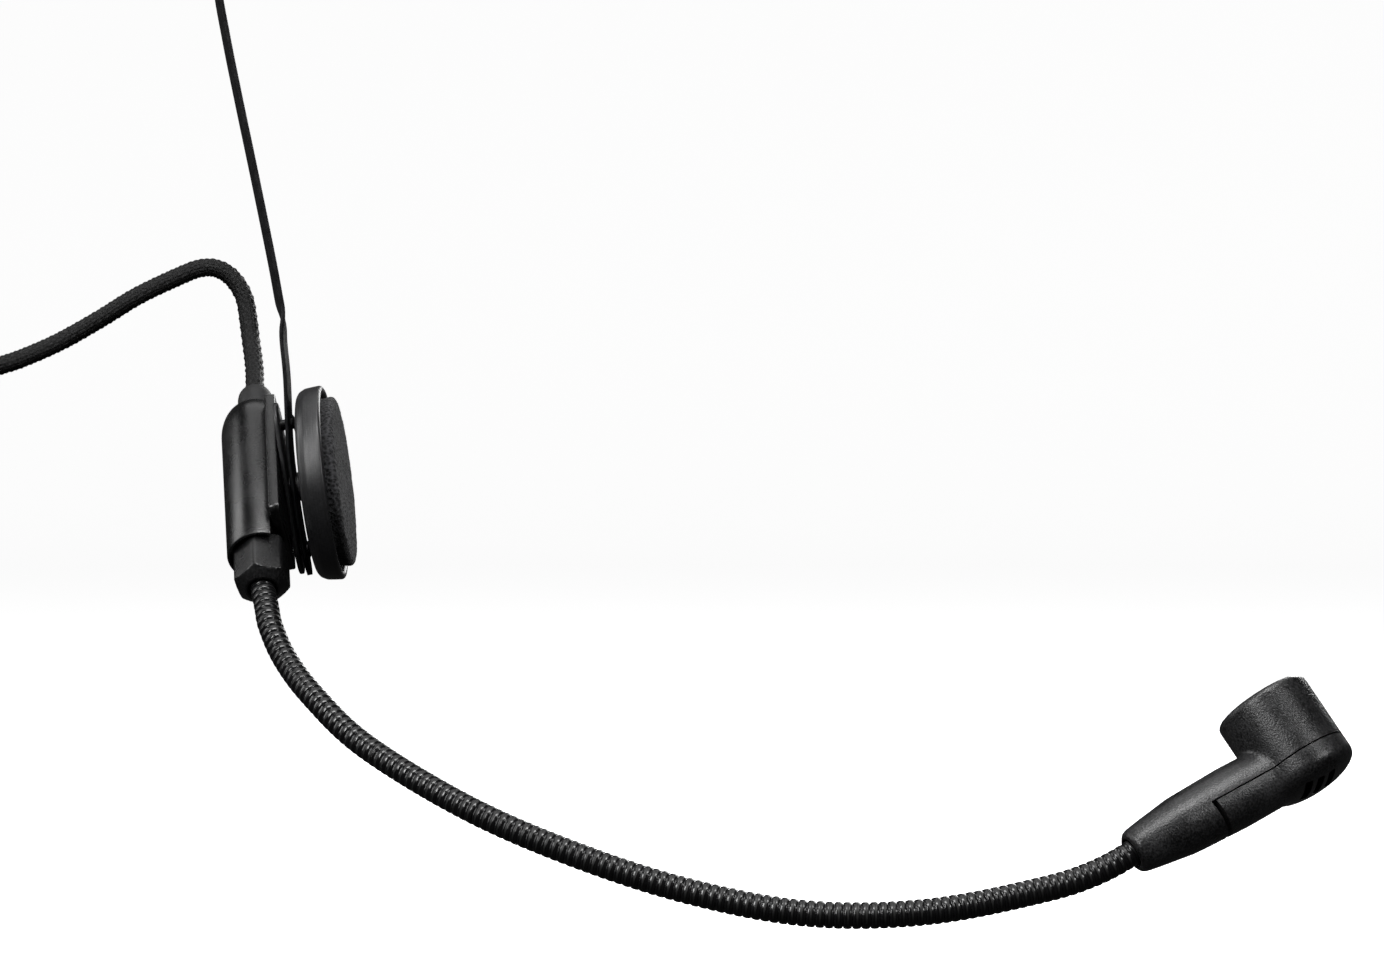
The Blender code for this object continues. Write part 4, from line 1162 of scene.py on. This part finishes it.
def finish_nodes(looks):
    """Soft edges and a material for each CAD node that still shows."""
    chosen = {
        "bright_metal": (
            "friction_washer", "gooseneck_ferrule", "mic_ferrule", "mic_capsule",
        ),
        "black_metal": (
            "clip_rivet_lower", "clip_rivet_upper", "pivot_stud", "far_pad_stud",
            "pad_retainer", "far_pad_retainer", "flange_screw_1", "flange_screw_2",
            "plug_shell", "plug_lock_ring",
        ),
        "contact": ("plug_sleeve", "plug_tip"),
        "moulded": ("pad_socket", "far_pad_socket"),
        "rubber": (
            "boom_lead", "mic_lead", "gland_seal", "capsule_sleeve", "plug_strain_relief",
            "plug_insulator",
        ),
        "mesh": ("vent_cloth",),
    }
    for look, names in chosen.items():
        for name in names:
            node = NODES[name]
            node.data.materials.clear()
            node.data.materials.append(looks[look])
            weld = node.modifiers.new("Weld", "WELD")
            weld.merge_threshold = 0.000002
            broken_edges(node, 0.00012, 2, 40.0)


# ---------- studio


def camera():
    """The photograph's viewpoint: level, in front of the pad, with a long lens."""
    data = bpy.data.cameras.new("camera")
    data.lens = CAMERA_LENS
    data.sensor_width = 36.0
    data.clip_start = 0.01
    made = new_object("camera", data)
    made.location = CAMERA_AT
    made.rotation_euler = (radians(90.0), 0.0, 0.0)
    bpy.context.scene.camera = made


def soft_light(name, place, aim, size, power, height=None):
    """A soft rectangular light at a place, turned towards its aim."""
    data = bpy.data.lights.new(name, "AREA")
    data.shape = "RECTANGLE"
    data.size = size
    data.size_y = height or size
    data.energy = power
    made = new_object(name, data)
    made.location = place
    toward = Vector(aim) - Vector(place)
    made.rotation_euler = toward.to_track_quat("-Z", "Y").to_euler()


def studio():
    """A pale bowl that goes all round the object, and the soft lights in it."""
    world = bpy.data.worlds.new("studio")
    bpy.context.scene.world = world
    world.use_nodes = True
    background = world.node_tree.nodes["Background"]
    background.inputs["Color"].default_value = (1.0, 1.0, 1.0, 1.0)
    background.inputs["Strength"].default_value = 0.035
    bpy.context.scene.view_settings.view_transform = "Standard"

    look = Look("pale_floor", 0.7, specular=0.3)
    look.colour(look.noise(7.0, 4.0), (0.86, 0.86, 0.86), (0.9, 0.9, 0.9))
    look.bump(look.noise(400.0, 3.0), 0.05, 0.0002)
    look.plain("Emission Color", (1.0, 1.0, 1.0, 1.0))
    look.plain("Emission Strength", 0.92)
    profile = [(0.0, FLOOR_Z), (BOWL_FLAT, FLOOR_Z)]
    for step in range(1, 13):
        angle = radians(90 * step / 12)
        out, rise = BOWL_CURVE * sin(angle), BOWL_CURVE * (1 - cos(angle))
        profile.append((BOWL_FLAT + out, FLOOR_Z + rise))
    profile += [(BOWL_FLAT + BOWL_CURVE, BOWL_TOP - 1.0), (0.0, BOWL_TOP)]
    profile = [(radius / MM, height / MM) for radius, height in profile]
    floor = shade(lathe("studio_floor", profile, Matrix(), 96), 60.0)
    floor.data.materials.append(look.material)
    floor.visible_glossy = False
    floor.visible_diffuse = False

    soft_light("key", (-0.52, -0.78, 0.3), (-0.02, -0.05, -0.2), 0.2, 10.0, 0.55)
    soft_light("right", (0.6, -0.6, 0.2), (0.12, -0.08, -0.24), 0.16, 2.8)
    soft_light("top", (0.05, -0.4, 0.6), (0.04, -0.05, -0.2), 0.5, 8.0, 0.2)
    soft_light("over", (0.0, 0.3, 1.5), (0.0, 0.0, -0.3), 1.6, 14.0, 1.6)
    soft_light("rim", (-0.75, 0.05, 0.1), (-0.06, 0.0, -0.2), 0.3, 3.0, 0.6)
    soft_light("behind", (0.5, 1.1, 0.3), (0.0, 0.0, -0.2), 0.5, 8.0, 0.5)


def main():
    """Builds the pieces, then the room they stand in."""
    camera()
    looks = make_looks()
    make_cable(looks)
    make_gooseneck(looks)
    make_head(looks)
    make_mouth(looks)
    make_housing(looks)
    make_flange(looks)
    make_nut(looks)
    make_bushing(looks)
    make_strip(looks)
    make_clip(looks)
    make_pad("", PAD, "pad", looks)
    make_pad("far_", FAR_PAD, "far_pad", looks)
    finish_nodes(looks)
    studio()


main()
